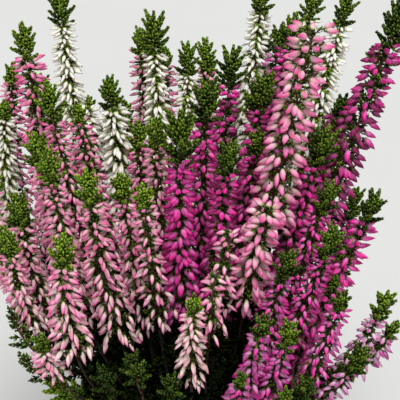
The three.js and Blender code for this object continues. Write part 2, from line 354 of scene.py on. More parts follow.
@dataclass(frozen=True)
class Petals(Finish):
    """Finish of closed heather buds: pale at the foot, coloured to the tip, in shades from pale to deep.

    A shade is three colours, from just over the foot to the tip. The grooves between the sepals are
    darkened, partly the seams' own colour and partly painted shade in the creases.
    """

    foot: Colour
    shades: tuple[tuple[Colour, Colour, Colour], ...]
    groove: Colour
    groove_shade_depth: float = 0.6
    places: tuple[float, ...] = (0.1, 0.26, 0.6, 0.95)
    roughness: Span = (0.4, 0.58)
    chance: float = 0.4
    specular: float = 0.3
    glow: float = 0.12
    glow_radius: tuple[float, float, float] = (1.0, 0.45, 0.55)
    glow_depth: float = 0.0006

    def lay_out(self, sheet: Sheet) -> None:
        """Lays the finish out on a node sheet.

        Args:
            sheet: the sheet.
        """
        along, rib, chance, tint = sheet.growth()
        tones = [(self.foot, *shade) for shade in self.shades]
        colour = sheet.toned(along, sheet.tone(tint, chance, self.chance), self.places, tones)
        # Painted shade in the creases between sepals, partly their seams' own colour.
        hollow = sheet.maths("MULTIPLY", sheet.maths("SUBTRACT", 1.0, rib), self.groove_shade_depth)
        colour = sheet.mix(hollow, colour, self.groove, "MULTIPLY")
        fleck = sheet.noise(1400, 3, (1, 1, 0.6))
        colour = sheet.glazed(colour, fleck, (0.3, grey(0.86)), (0.7, grey(1.08)))
        sheet.paint(colour, sheet.between(fleck, *self.roughness))
        sheet.bump(sheet.noise(3500, 2), 0.25, 0.0001)
        sheet.shader.inputs["Specular IOR Level"].default_value = self.specular
        sheet.shader.inputs["Subsurface Weight"].default_value = self.glow
        sheet.shader.inputs["Subsurface Radius"].default_value = self.glow_radius
        sheet.shader.inputs["Subsurface Scale"].default_value = self.glow_depth


@dataclass(frozen=True)
class Foliage(Finish):
    """Finish of scale leaves: three tones, from painted deep shade through dark green to bright
    yellow-green that is partly young growth and partly painted light; tips and edges are lighter, the
    tips partly paler young growth and both painted highlight.
    """

    tones: tuple[tuple[Colour, Colour, Colour], ...]
    places: tuple[float, ...] = (0.1, 0.6, 1.0)
    roughness: Span = (0.46, 0.66)
    chance: float = 0.2
    sheen: float = 0.4

    def lay_out(self, sheet: Sheet) -> None:
        """Lays the finish out on a node sheet.

        Args:
            sheet: the sheet.
        """
        along, rib, chance, tint = sheet.growth()
        share = sheet.tone(tint, chance, self.chance)
        colour = sheet.toned(along, share, self.places, self.tones)
        # Painted highlight: a leaf's edges lighter than its ridge.
        colour = sheet.glazed(colour, rib, (0.0, (1.12, 1.12, 1.0, 1)), (1.0, (0.9, 0.94, 0.9, 1)))
        fleck = sheet.noise(900, 3)
        colour = sheet.glazed(colour, fleck, (0.3, grey(0.8)), (0.7, grey(1.12)))
        sheet.paint(colour, sheet.between(fleck, *self.roughness))
        sheet.bump(sheet.noise(2500, 2), 0.3, 0.0001)
        sheen = sheet.maths("MULTIPLY", share, self.sheen)
        sheet.link(sheen, sheet.shader.inputs["Specular IOR Level"])


@dataclass(frozen=True)
class Bark(Finish):
    """Finish of the wood: dark and fissured low down, old grey brown wood deepened with painted shade,
    red brown and smoother up the spray.
    """

    old_wood_and_shade: Colour
    young: Colour
    fissure: Colour
    roughness: Span = (0.6, 0.85)

    def lay_out(self, sheet: Sheet) -> None:
        """Lays the finish out on a node sheet.

        Args:
            sheet: the sheet.
        """
        along, _, chance, _ = sheet.growth()
        # Low on the stem the dark old wood also carries painted shade.
        colour = sheet.ramp(along, [(0.4, self.old_wood_and_shade), (0.75, self.young)])
        grain = sheet.noise(1100, 4, (1, 1, 0.18))
        colour = sheet.glazed(colour, grain, (0.38, self.fissure), (0.58, WHITE), 0.8)
        colour = sheet.glazed(colour, chance, (0.0, grey(0.8)), (1.0, (1.15, 1.1, 1.05, 1)))
        sheet.paint(colour, sheet.between(grain, *self.roughness))
        sheet.bump(grain, 0.6, 0.0002)


@dataclass(frozen=True)
class Plastic(Finish):
    """Finish of a thin black nursery pot: a dull moulded skin with scuffs and a film of dust."""

    colour: Colour
    dust: Colour
    roughness: Span = (0.38, 0.6)

    def lay_out(self, sheet: Sheet) -> None:
        """Lays the finish out on a node sheet.

        Args:
            sheet: the sheet.
        """
        grain = sheet.noise(1800, 3)
        clouds = sheet.noise(38, 5)
        film = sheet.ramp(clouds, [(0.45, grey(0)), (0.75, grey(0.22))])
        colour = sheet.mix(film, self.colour, self.dust)
        scuffs = sheet.noise(260, 6, (0.25, 0.25, 2.2))
        streaks = sheet.ramp(scuffs, [(0.62, grey(0)), (0.72, grey(0.3))])
        colour = sheet.mix(streaks, colour, self.dust)
        sheet.paint(colour, sheet.between(clouds, *self.roughness))
        sheet.bump(grain, 0.25, 0.0001)


@dataclass(frozen=True)
class Peat(Finish):
    """Finish of potting soil: dark crumbs with paler fibres."""

    dark: Colour
    fibre: Colour
    roughness: Span = (0.85, 1.0)

    def lay_out(self, sheet: Sheet) -> None:
        """Lays the finish out on a node sheet.

        Args:
            sheet: the sheet.
        """
        clods = sheet.noise(420, 6)
        fibres = sheet.noise(1500, 4, (1, 0.3, 1))
        colour = sheet.ramp(clods, [(0.35, self.dark), (0.75, self.fibre)])
        veil = ((0.5, (0.55, 0.5, 0.48, 1)), (0.72, (1.25, 1.15, 1.05, 1)))
        colour = sheet.glazed(colour, fibres, *veil)
        sheet.paint(colour, sheet.between(clods, *self.roughness))
        sheet.bump(clods, 0.8, 0.0012)


@dataclass(frozen=True)
class FloorPaint(Finish):
    """Finish of the studio floor: a pale paint with the faintest mottle."""

    colour: Colour
    roughness: float = 0.85

    def lay_out(self, sheet: Sheet) -> None:
        """Lays the finish out on a node sheet."""
        colour = sheet.glazed(self.colour, sheet.noise(3, 3), (0.3, grey(0.97)), (0.7, WHITE))
        sheet.paint(colour, self.roughness)


# ---- Bench: Blender's operators, used as by hand


class Bench:
    """Adds primitives and shapes them in edit mode."""

    @staticmethod
    def clear() -> None:
        """Leaves edit mode and deselects everything."""
        if bpy.context.object is not None and bpy.context.object.mode != "OBJECT":
            bpy.ops.object.mode_set(mode="OBJECT")
        bpy.ops.object.select_all(action="DESELECT")

    @staticmethod
    def current(name: str) -> bpy.types.Object:
        """Names the primitive that was just added.

        Args:
            name: its new name.

        Returns:
            The object.
        """
        made = bpy.context.object
        made.name = name
        made.data.name = name
        return made

    @staticmethod
    def pick(made: bpy.types.Object, wanted: Callable[[Vector], bool]) -> None:
        """Selects vertices by their place, and leaves the object in edit mode.

        Args:
            made: the object.
            wanted: says of a place whether its vertex is wanted.
        """
        bpy.ops.object.mode_set(mode="EDIT")
        bpy.ops.mesh.select_mode(type="VERT")
        bpy.ops.mesh.select_all(action="DESELECT")
        bpy.ops.object.mode_set(mode="OBJECT")
        for vertex in made.data.vertices:
            vertex.select = wanted(vertex.co)
        bpy.ops.object.mode_set(mode="EDIT")

    @staticmethod
    def pick_down(made: bpy.types.Object) -> None:
        """Selects the faces that look down, and leaves the object in edit mode.

        Args:
            made: the object.
        """
        bpy.ops.object.mode_set(mode="EDIT")
        bpy.ops.mesh.select_mode(type="FACE")
        bpy.ops.mesh.select_all(action="DESELECT")
        bpy.ops.object.mode_set(mode="OBJECT")
        for face in made.data.polygons:
            face.select = face.normal.z < -0.9
        bpy.ops.object.mode_set(mode="EDIT")

    @staticmethod
    def lift(distance: float) -> None:
        """Moves what is selected up."""
        bpy.ops.transform.translate(value=(0, 0, distance))

    @staticmethod
    def widen(scale: float, height: float = 0.0) -> None:
        """Scales what is selected across, about the Z axis at a height."""
        bpy.ops.transform.resize(value=(scale, scale, 1), center_override=(0, 0, height))

    @staticmethod
    def cone(name: str) -> bpy.types.Object:
        """Adds a three-sided cone of unit height and radius, which stands on the origin.

        Args:
            name: its name.

        Returns:
            The cone.
        """
        Bench.clear()
        bpy.ops.mesh.primitive_cone_add(
            vertices=3, radius1=1.0, radius2=0.0, depth=1.0, location=(0, 0, 0.5)
        )
        made = Bench.current(name)
        bpy.ops.object.transform_apply(location=True, rotation=True, scale=True)
        return made

    @staticmethod
    def finish(
        made: bpy.types.Object, name: str, material: bpy.types.Material, angle: float
    ) -> None:
        """Names a piece, shades it and gives it its material.

        Args:
            made: the piece.
            name: its name.
            material: its only material.
            angle: edges blunter than this many degrees are shaded smooth.
        """
        Bench.clear()
        made.select_set(True)
        bpy.context.view_layer.objects.active = made
        bpy.ops.object.shade_smooth_by_angle(angle=math.radians(angle))
        made.name = name
        made.data.name = name
        made.data.materials.clear()
        made.data.materials.append(material)

    @staticmethod
    def apply(made: bpy.types.Object, kind: str, **settings: object) -> None:
        """Adds a modifier and applies it.

        Args:
            made: the object.
            kind: the modifier's type.
            settings: properties to set on it.
        """
        bpy.context.view_layer.objects.active = made
        modifier = made.modifiers.new(kind.title(), kind)
        for key, value in settings.items():
            setattr(modifier, key, value)
        bpy.ops.object.modifier_apply(modifier=modifier.name)


@dataclass
class Template:
    """A small closed shape that is copied many times.

    Its growth is each point's place along it and how far the point stands on a rib.
    """

    points: np.ndarray
    faces: np.ndarray
    growth: np.ndarray

    @staticmethod
    def taken_from(made: bpy.types.Object, rib: Callable[[Vector], float]) -> "Template":
        """Reads a modelled shape, in triangles, and removes its object.

        Args:
            made: the modelled object. Its length runs up Z.
            rib: says of a place how far it stands on a rib, from 0 to 1.

        Returns:
            The template.
        """
        if made.mode != "EDIT":
            bpy.ops.object.mode_set(mode="EDIT")
        bpy.ops.mesh.select_all(action="SELECT")
        bpy.ops.mesh.quads_convert_to_tris()
        bpy.ops.mesh.normals_make_consistent(inside=False)
        bpy.ops.object.mode_set(mode="OBJECT")
        points = np.array([v.co for v in made.data.vertices])
        faces = np.array([list(p.vertices) for p in made.data.polygons])
        low, high = points[:, 2].min(), points[:, 2].max()
        along = (points[:, 2] - low) / (high - low)
        ribs = np.array([rib(v.co) for v in made.data.vertices])
        mesh = made.data
        bpy.data.objects.remove(made)
        bpy.data.meshes.remove(mesh)
        return Template(points, faces, np.column_stack([along, ribs]))


@dataclass
class Batch:
    """Copies of templates that are written as one mesh."""

    points: list[np.ndarray] = field(default_factory=list)
    faces: list[np.ndarray] = field(default_factory=list)
    growth: list[np.ndarray] = field(default_factory=list)
    count: int = 0

    def add(self, points: np.ndarray, faces: np.ndarray, growth: np.ndarray) -> None:
        """Adds a mesh as it is, in millimetres.

        Args:
            points: its points.
            faces: its triangles.
            growth: four numbers a point.
        """
        self.points.append(points)
        self.faces.append(faces + self.count)
        self.growth.append(growth)
        self.count += len(points)

    def copy(
        self,
        shape: Template,
        origins: np.ndarray,
        directions: np.ndarray,
        rolls: np.ndarray,
        lengths: np.ndarray,
        widths: np.ndarray,
        chances: np.ndarray,
        tints: np.ndarray,
    ) -> None:
        """Adds a copy of a template at each origin.

        Args:
            shape: the template, with its length up Z.
            origins: where each copy's foot is.
            directions: where each copy's length points.
            rolls: turn of each copy about its length, from the side that faces up.
            lengths: scale of each copy along its length.
            widths: scale of each copy across.
            chances: a number from 0 to 1 for each copy's shade.
            tints: a number from 0 to 1 for each copy's tint.
        """
        if not len(origins):
            return
        along = unit(directions)
        side = np.cross(along, UP)
        side[np.linalg.norm(side, axis=1) < 1e-4] = (1.0, 0.0, 0.0)
        side = unit(side)
        top = np.cross(side, along)
        cos, sin = np.cos(rolls)[:, None], np.sin(rolls)[:, None]
        x_axis = side * cos + top * sin
        y_axis = top * cos - side * sin
        local = shape.points
        placed = (
            origins[:, None, :]
            + local[None, :, 0, None] * (x_axis * widths[:, None])[:, None, :]
            + local[None, :, 1, None] * (y_axis * widths[:, None])[:, None, :]
            + local[None, :, 2, None] * (along * lengths[:, None])[:, None, :]
        )
        many, each = len(origins), len(local)
        steps = np.arange(many) * each
        faces = (shape.faces[None, :, :] + steps[:, None, None]).reshape(-1, 3)
        growth = np.concatenate(
            [
                np.tile(shape.growth, (many, 1)),
                np.repeat(chances, each)[:, None],
                np.repeat(tints, each)[:, None],
            ],
            axis=1,
        )
        self.add(placed.reshape(-1, 3), faces, growth)

    def template(self) -> Template:
        """The batch as one template, which keeps each point's place along its own leaf."""
        growth = np.concatenate(self.growth)
        return Template(np.concatenate(self.points), np.concatenate(self.faces), growth[:, :2])

    def build(self, name: str, material: bpy.types.Material, smooth: bool = True) -> bpy.types.Object:
        """Writes the batch as one object, in metres.

        Args:
            name: the object's name.
            material: its material.
            smooth: whether its faces are shaded smooth.

        Returns:
            The object.
        """
        mesh = bpy.data.meshes.new(name)
        points = np.concatenate(self.points) * MM
        faces = np.concatenate(self.faces)
        mesh.vertices.add(len(points))
        mesh.vertices.foreach_set("co", points.astype(np.float32).ravel())
        mesh.loops.add(faces.size)
        mesh.loops.foreach_set("vertex_index", faces.astype(np.int32).ravel())
        mesh.polygons.add(len(faces))
        mesh.polygons.foreach_set("loop_start", np.arange(0, faces.size, 3, dtype=np.int32))
        mesh.polygons.foreach_set("use_smooth", np.full(len(faces), smooth))
        growth = mesh.attributes.new(GROWTH, "FLOAT_COLOR", "POINT")
        growth.data.foreach_set("color", np.concatenate(self.growth).astype(np.float32).ravel())
        mesh.update(calc_edges=True)
        mesh.materials.append(material)
        made = bpy.data.objects.new(name, mesh)
        bpy.context.scene.collection.objects.link(made)
        return made


# ---- Shapes that are copied


@dataclass(frozen=True)
class BudShape:
    """A closed bud of unit length and unit half width, with ribbed sepals.

    Its rings stand at a height and a radius each, from the foot to the tip.
    """

    columns: int = 6
    rings: tuple[Span, ...] = ((0.12, 0.62), (0.4, 1.0), (0.74, 0.64))
    groove: float = 0.84
    axis: float = 0.01
    tray: float = 2.0

    def template(self) -> Template:
        """Models the bud from a sphere. Each ring is shaped and set on a tray above, clear of the rest.

        Returns:
            The bud.
        """
        Bench.clear()
        steps = len(self.rings) + 1
        bpy.ops.mesh.primitive_uv_sphere_add(segments=self.columns, ring_count=steps, radius=1.0)
        made = Bench.current("bud")
        for step, (height, radius) in enumerate(self.rings, start=1):
            level = -math.cos(math.pi * step / steps)
            width = math.sin(math.pi * step / steps)
            Bench.pick(made, lambda co, level=level: self.level(co, level) and not self.middle(co))
            Bench.widen(radius / width, level)
            Bench.lift(self.tray + height - level)
        for level, height in ((-1.0, 0.0), (1.0, 1.0)):
            Bench.pick(made, lambda co, level=level: self.level(co, level) and self.middle(co))
            Bench.lift(self.tray + height - level)
        Bench.pick(made, self.hollow)
        Bench.widen(self.groove)
        bpy.ops.mesh.select_all(action="SELECT")
        Bench.lift(-self.tray)
        return Template.taken_from(made, self.rib)

    def level(self, place: Vector, height: float) -> bool:
        """Whether a place lies at a height."""
        return abs(place.z - height) < 0.02

    def middle(self, place: Vector) -> bool:
        """Whether a place lies on the bud's axis."""
        return place.xy.length < self.axis

    def hollow(self, place: Vector) -> bool:
        """Says whether a place lies in a groove between two sepals.

        Args:
            place: the place.

        Returns:
            Whether it does.
        """
        if self.middle(place):
            return False
        column = round(math.atan2(place.y, place.x) / (TURN / self.columns))
        return column % 2 == 1

    def rib(self, place: Vector) -> float:
        """How far a place stands on a sepal's rib."""
        return 0.5 if self.middle(place) else float(not self.hollow(place))


@dataclass(frozen=True)
class LeafShape:
    """A scale leaf of unit length and unit half width: six faces, ridged on its outer side."""

    widest: float = 0.48
    across: float = 1.15
    ridge: float = 0.5
    belly: float = -0.12

    def template(self) -> Template:
        """Models the leaf from a three-sided cone with its base poked out.

        Returns:
            The leaf.
        """
        made = Bench.cone("leaf")
        Bench.pick_down(made)
        bpy.ops.mesh.poke(offset=-self.widest)
        Bench.pick(made, lambda co: co.xy.length > 0.5)
        Bench.lift(self.widest)
        Bench.pick(made, lambda co: co.xy.length < 0.1 and co.z < 0.5)
        low = min(v.co.z for v in made.data.vertices)
        bpy.ops.transform.translate(value=(0, self.belly, -low))
        bpy.ops.mesh.select_all(action="SELECT")
        bpy.ops.transform.resize(value=(self.across, self.ridge, 1), center_override=(0, 0, 0))
        return Template.taken_from(made, lambda co: float(co.y > 0.05))


@dataclass(frozen=True)
class TwigShape:
    """A twig of unit length and unit radius at its foot, which ends in a point."""

    rib: float = 0.5

    def template(self) -> Template:
        """Models the twig as a three-sided cone."""
        return Template.taken_from(Bench.cone("twig"), lambda co: self.rib)


@dataclass(frozen=True)
class SprigShape:
    """A short leafy branchlet: pairs of scale leaves, each pair square to the last, up a thin core.

    Lengths are millimetres and the lean is in degrees. Towards its tip the leaves are shorter, stand
    closer to the core and lean in.
    """

    length: float
    pairs: int
    leaf_length: float = 2.0
    leaf_width: float = 0.9
    lean: float = 16.0
    core: float = 1.2
    offset: float = 0.52
    seed: int = 3
    overlap: float = 0.66
    tip_shrink: float = 0.22
    tip_close: float = 0.4
    tip_lean: float = 1.1
    turn_off: float = 0.2
    lean_off: float = 0.1
    core_age: float = 0.3

    def template(self, leaf: Template) -> Template:
        """Puts the branchlet together from leaves, at full size in millimetres.

        Args:
            leaf: the scale leaf. A long one makes the core.

        Returns:
            The branchlet.
        """
        rng = np.random.default_rng(self.seed)
        batch = Batch()
        one = np.ones(1)
        foot = np.zeros((1, 3))
        batch.copy(leaf, foot, UP[None, :], one * 0, one * self.length, one * self.core, one, one)
        many = self.pairs * 2
        pair = np.arange(many) // 2
        step = (self.length - self.leaf_length * self.overlap) / max(1, self.pairs - 1)
        opposite = np.pi * (np.arange(many) % 2)
        turns = opposite + np.pi / 2 * pair + rng.uniform(-self.turn_off, self.turn_off, many)
        out = outward(turns)
        close = (pair / max(1, self.pairs - 1)) ** 2
        shrink = 1 - self.tip_shrink * close
        lean = np.radians(self.lean) * (1 - self.tip_lean * close)
        lean = lean + rng.uniform(-self.lean_off, self.lean_off, many)
        along = out * np.sin(lean)[:, None] + UP * np.cos(lean)[:, None]
        origins = out * (self.offset * (1 - self.tip_close * close))[:, None]
        origins = origins + UP * (pair * step)[:, None]
        lengths, widths = self.leaf_length * shrink, self.leaf_width * shrink
        ones = np.ones(many)
        batch.copy(leaf, origins, along, ones * 0, lengths, widths, ones, ones)
        made = batch.template()
        made.growth[: len(leaf.points), 0] *= self.core_age
        return made


OPEN_SPRIG = SprigShape(
    length=9.0, pairs=5, leaf_length=3.3, leaf_width=0.98, lean=42.0, core=0.5, offset=0.15
)
CLOSED_SPRIGS = tuple(
    SprigShape(length, pairs, seed=pairs)
    for length, pairs in ((7.4, 7), (6.2, 6), (5.0, 5), (3.8, 4))
)


# ---- How the stems grow


class Tip(NamedTuple):
    """Where a stem ends, in millimetres, how long its flowering part is, and how stout it is.

    The girth is that of its flowers and the tuft that of its leafy tip, beside others of its kind. A
    stem may be deeper in colour than its spray, or paler.
    """

    x: float
    y: float
    top: float
    bloom: float
    girth: float = 1.0
    tuft: float = 1.0
    deeper: float = 0.0


@dataclass(frozen=True)
class Fountain:
    """The one field that all stems follow: their roots' pattern, spread with height, in millimetres."""

    soil_top: float = 86
    inner_spread: float = 1.75
    inner_power: float = 0.8
    inner_scale: float = 100
    outer_spread: float = 1.62
    outer_power: float = 1.4
    outer_scale: float = 36
    outer_from: float = 18
    outer_to: float = 36
    halvings: int = 40
    drift: float = 5
    drift_power: float = 1.5
    drift_scale: float = 100

    def spread(self, height: np.ndarray, root: float) -> np.ndarray:
        """How far a stem has spread, as a multiple of its root's distance from the middle.

        Args:
            height: heights along the stem.
            root: the root's distance from the middle.

        Returns:
            The spread at each height.
        """
        above = np.maximum(0.0, height - self.soil_top)
        inner = self.inner_spread * (above / self.inner_scale) ** self.inner_power
        outer = self.outer_spread * (1 - np.exp(-((above / self.outer_scale) ** self.outer_power)))
        share = smoothstep(np.array((root - self.outer_from) / (self.outer_to - self.outer_from)))
        return 1 + inner + (outer - inner) * share

    def lean(self, height: np.ndarray) -> np.ndarray:
        """How far the whole bundle has leant to +X at each height."""
        above = np.maximum(0.0, height - self.soil_top)
        return self.drift * (above / self.drift_scale) ** self.drift_power

    def root_of(self, tip_x: float, y: float, top: float) -> np.ndarray:
        """The root of the stem whose tip is at a place, found by halving.

        Args:
            tip_x: the tip's x.
            y: the tip's y.
            top: the tip's height.

        Returns:
            The root's x and y.
        """
        x = tip_x - float(self.lean(np.array(top)))
        reach = math.hypot(x, y)
        low, high = 0.0, reach
        for _ in range(self.halvings):
            middle = (low + high) / 2
            if middle * float(self.spread(np.array(top), middle)) < reach:
                low = middle
            else:
                high = middle
        return np.array([x, y]) * low / reach


FOUNTAIN = Fountain()


@dataclass
class Stem:
    """One stem: its route up the fountain, and the room it takes at each height, in millimetres."""

    tip: Tip
    first: "Stem | None" = None
    order: int = 0
    root_depth: float = 10
    bud_reach: float = 6.2
    bud_reach_gain: float = 0.03
    wood_reach: float = 2.8
    tuft_length: float = 15
    tuft_reach: float = 5.4
    fork_height: float = 93
    fork_step: float = 5
    fork_blend: float = 36
    leafless: float = 16

    def __post_init__(self) -> None:
        """Works out where the stem roots, forks and flowers."""
        self.top, self.bloom = self.tip.top, self.tip.bloom
        self.root = FOUNTAIN.root_of(self.tip.x, self.tip.y, self.top)
        self.reach = (self.bud_reach + self.bud_reach_gain * self.bloom) * self.tip.girth
        self.tuft_length = self.tuft_length * self.tip.tuft
        self.tuft_reach = self.tuft_reach * self.tip.tuft
        self.bottom = FOUNTAIN.soil_top - self.root_depth
        if self.first is not None:
            self.bottom = self.fork_height + self.fork_step * self.order
        self.bud_top = self.top - self.tuft_length
        self.bud_bottom = self.bud_top - self.bloom
        if self.bloom == 0:
            self.bud_bottom = FOUNTAIN.soil_top + self.leafless

    def at(self, height: np.ndarray) -> np.ndarray:
        """Follows the stem.

        Args:
            height: the heights.

        Returns:
            The stem's x and y at each.
        """
        spread = FOUNTAIN.spread(height, float(np.hypot(*self.root)))
        place = spread[:, None] * self.root[None, :]
        place[:, 0] += FOUNTAIN.lean(height)
        if self.first is not None:
            share = smoothstep((height - self.bottom) / self.fork_blend)[:, None]
            place = self.first.at(height) * (1 - share) + place * share
        return place

    def points(self, height: np.ndarray) -> np.ndarray:
        """The stem's points at each height."""
        return np.column_stack([self.at(height), height])

    def along(self, height: np.ndarray) -> np.ndarray:
        """The stem's direction at each height."""
        return unit(self.points(height + 1) - self.points(height - 1))

    def room(self, height: np.ndarray) -> np.ndarray:
        """Measures how far the stem's leaves or buds reach.

        Args:
            height: the heights.

        Returns:
            The reach at each, in millimetres.
        """
        reach = np.full(len(height), self.tuft_reach)
        if self.bloom > 0:
            reach[height <= self.bud_top] = self.reach
        reach[height < self.bud_bottom] = self.wood_reach
        return reach

    def across(self, heights: np.ndarray) -> tuple[np.ndarray, np.ndarray]:
        """Finds two directions square to the stem and to each other.

        Args:
            heights: the heights.

        Returns:
            The two directions at each.
        """
        along = self.along(heights)
        side = unit(np.cross(SIDEWAYS, along))
        return side, np.cross(along, side)


@dataclass
class Neighbours:
    """The stems of other sprays, which share the room between them as their reaches do.

    Each side may reach a little past the middle, because buds stand between buds. Lengths are
    millimetres.
    """

    stems: list[Stem]
    interlock: float = 1.3
    tip_room: float = 2.4
    far_off: float = 24

    def drawn_in(self, own: Stem, points: np.ndarray) -> np.ndarray:
        """How far each point has to be drawn in towards its own stem to stay clear of the others.

        Args:
            own: the stem that carries the points.
            points: places out from it.

        Returns:
            The share of each point's distance that is left.
        """
        height = points[:, 2]
        centre = own.at(height)
        offset = points[:, :2] - centre
        scale = np.ones(len(points))
        reach = own.room(height)
        for other in self.stems:
            if height.max() < other.bottom or height.min() > other.top + self.tip_room:
                continue
            gap = other.at(height) - centre
            distance = np.maximum(np.linalg.norm(gap, axis=1), 1e-6)
            if distance.min() > self.far_off:
                continue
            limit = distance * reach / (reach + other.room(height)) * self.interlock
            toward = (offset * gap).sum(1) / distance
            near = (toward * scale > limit) & (height >= other.bottom)
            near &= height <= other.top + self.tip_room
            scale[near] = np.maximum(limit[near], 0.0) / toward[near]
        return scale


# ---- Heather


class Bloom(Enum):
    """What a spray carries."""

    WHITE = "white_petals"
    PALE_PINK = "pale_pink_petals"
    MAGENTA = "magenta_petals"
    NONE = "foliage"


@dataclass
class Workshop:
    """The shapes and finishes that all sprays share."""

    def __post_init__(self) -> None:
        """Models the shapes and mixes the finishes."""
        self.bud = BudShape().template()
        self.leaf = LeafShape().template()
        self.twig = TwigShape().template()
        self.closed_sprigs = [sprig.template(self.leaf) for sprig in CLOSED_SPRIGS]
        self.open_sprig = OPEN_SPRIG.template(self.leaf)
        self.petals = {
            Bloom.WHITE: Petals(
                "ivory_petals",
                srgb(172, 178, 122),
                (
                    (srgb(242, 242, 224), srgb(252, 252, 245), srgb(254, 250, 244)),
                    (srgb(228, 228, 206), srgb(246, 243, 230), srgb(246, 232, 228)),
                ),
                # Groove: painted shade in the creases between sepals, partly their seams' own colour.
                srgb(216, 212, 190),
            ).material(),
            Bloom.PALE_PINK: Petals(
                "pale_pink_petals",
                srgb(196, 196, 150),
                (
                    (srgb(238, 230, 212), srgb(242, 216, 214), srgb(238, 154, 186)),
                    (srgb(238, 212, 208), srgb(241, 163, 197), srgb(235, 90, 162)),
                    (srgb(236, 158, 194), srgb(235, 92, 168), srgb(218, 36, 132)),
                ),
                # Groove: painted shade in the creases between sepals, partly their seams' own colour.
                srgb(214, 120, 152),
            ).material(),
            Bloom.MAGENTA: Petals(
                "magenta_petals",
                srgb(138, 104, 92),
                (
                    (srgb(246, 226, 236), srgb(236, 176, 214), srgb(214, 92, 170)),
                    (srgb(226, 156, 204), srgb(198, 76, 160), srgb(152, 30, 114)),
                    (srgb(255, 142, 212), srgb(255, 56, 178), srgb(230, 28, 142)),
                    # Deepest magenta: partly the sprays' own crimson and partly painted shade for sprays
                    # that stand in shade among the others.
                    (srgb(184, 80, 142), srgb(142, 28, 94), srgb(92, 10, 52)),
                ),
                # Groove: painted shade in the creases between sepals, partly their seams' own colour.
                srgb(160, 64, 128),
                chance=0.5,
            ).material(),
        }
        self.foliage = Foliage(
            "scale_leaves",
            (
                # The first tone is painted deep shade, and the last is partly painted light.
                (srgb(3, 5, 1), srgb(8, 12, 2), srgb(24, 34, 8)),
                (srgb(11, 18, 1), srgb(32, 50, 4), srgb(90, 122, 36)),
                (srgb(58, 88, 2), srgb(114, 150, 10), srgb(200, 224, 70)),
            ),
        ).material()
        self.bark = Bark(
            # The first colour is old wood darkened with painted shade low in the bunch.
            "heather_bark", srgb(30, 22, 17), srgb(108, 56, 42), srgb(90, 80, 74)
        ).material()


@dataclass(frozen=True)
class Habit:
    """How a kind of heather carries its buds, in tiers round the stem. Lengths are millimetres.

    A bud's age runs from 0 at the foot of the flowers to 1 at their top, and its pitch, in degrees,
    from hanging to raised. Nodding lowers all pitches and wandering scatters them. Ageing deepens the
    oldest buds, or pales them where it is negative. The reach is a share of the stem's, at either end.
    """

    length: float
    half_width: float
    tier: float
    to_tier: int
    nod: float = 0.0
    ageing: float = 0.0
    wander: float = 14.0
    narrow: float = 0.7
    wide: float = 1.08
    ages: tuple[float, ...] = (0, 0.25, 0.5, 0.75, 0.92, 1)
    pitches: tuple[float, ...] = (-62, -48, -34, -20, -6, 12)

    def reach(self, stem: Stem, age: np.ndarray) -> np.ndarray:
        """How far buds of each age reach out from a stem."""
        return stem.reach * (self.wide + (self.narrow - self.wide) * age)


@dataclass(frozen=True)
class WoodForm:
    """How a stem's wood tapers and swells. Lengths are millimetres."""

    radius: float = 1.0
    fork_radius: float = 0.8
    taper: float = 0.62
    taper_power: float = 0.8
    swell: float = 0.1
    swell_rate: float = 0.9
    step: float = 6
    least_steps: int = 6
    below_top: float = 3
    sides: int = 6


@dataclass(frozen=True)
class BudForm:
    """How buds stand along and round a stem, and how they differ. Lengths are millimetres.

    Some buds stand further in than the rest. Those at the top are shorter and slimmer. A bud that
    would have less than the least room is left out.
    """

    crowding: float = 1.12
    twist: float = 0.35
    turn_off: float = 0.3
    girth_crowd: float = 0.8
    inner_share: float = 0.22
    inner_reach: Span = (0.6, 0.85)
    pitch_range: Span = (-78, 30)
    length_off: Span = (0.84, 1.12)
    width_off: Span = (0.88, 1.08)
    reach_off: Span = (0.86, 1.03)
    young_shorter: float = 0.22
    young_slimmer: float = 0.12
    young_power: float = 4
    bare_crown: float = 1.5
    least_stalk: float = 0.9
    stalk_rise: float = 0.35
    least_room: float = 0.34


@dataclass(frozen=True)
class StalkForm:
    """The stalk, bract and small leaves that belong to a bud. Lengths are millimetres.

    Small leaves stand on a share of the stalks, each raised by a lift.
    """

    into_bud: float = 0.3
    radius: float = 0.3
    wood_age: float = 0.9
    bract_off: float = 0.3
    bract_lean: float = 0.4
    bract_length: Span = (1.5, 2.2)
    bract_radius: float = 0.5
    bract_tint: Span = (0.4, 0.7)
    white_lighter: float = 0.3
    others_lighter: float = 0.1
    leaves: tuple[Span, ...] = ((1.0, 0.3), (0.45, 0.7))
    leaf_places: Span = (0.05, 0.75)
    leaf_out: float = 0.8
    leaf_off: float = 0.6
    leaf_length: Span = (2.0, 3.2)
    leaf_width: float = 0.62
    leaf_darker: float = 0.9


@dataclass(frozen=True)
class BranchletForm:
    """How leafy branchlets leave a stem. Lengths are millimetres.

    Low ones keep clear of the pot's rim, inside its radius or above its height.
    """

    turn_off: float = 0.3
    start: float = 0.2
    least_room: float = 0.25
    least_size: float = 0.45
    width_range: Span = (0.85, 1.1)
    rim_radius: float = 50.0
    rim_height: float = 106.0


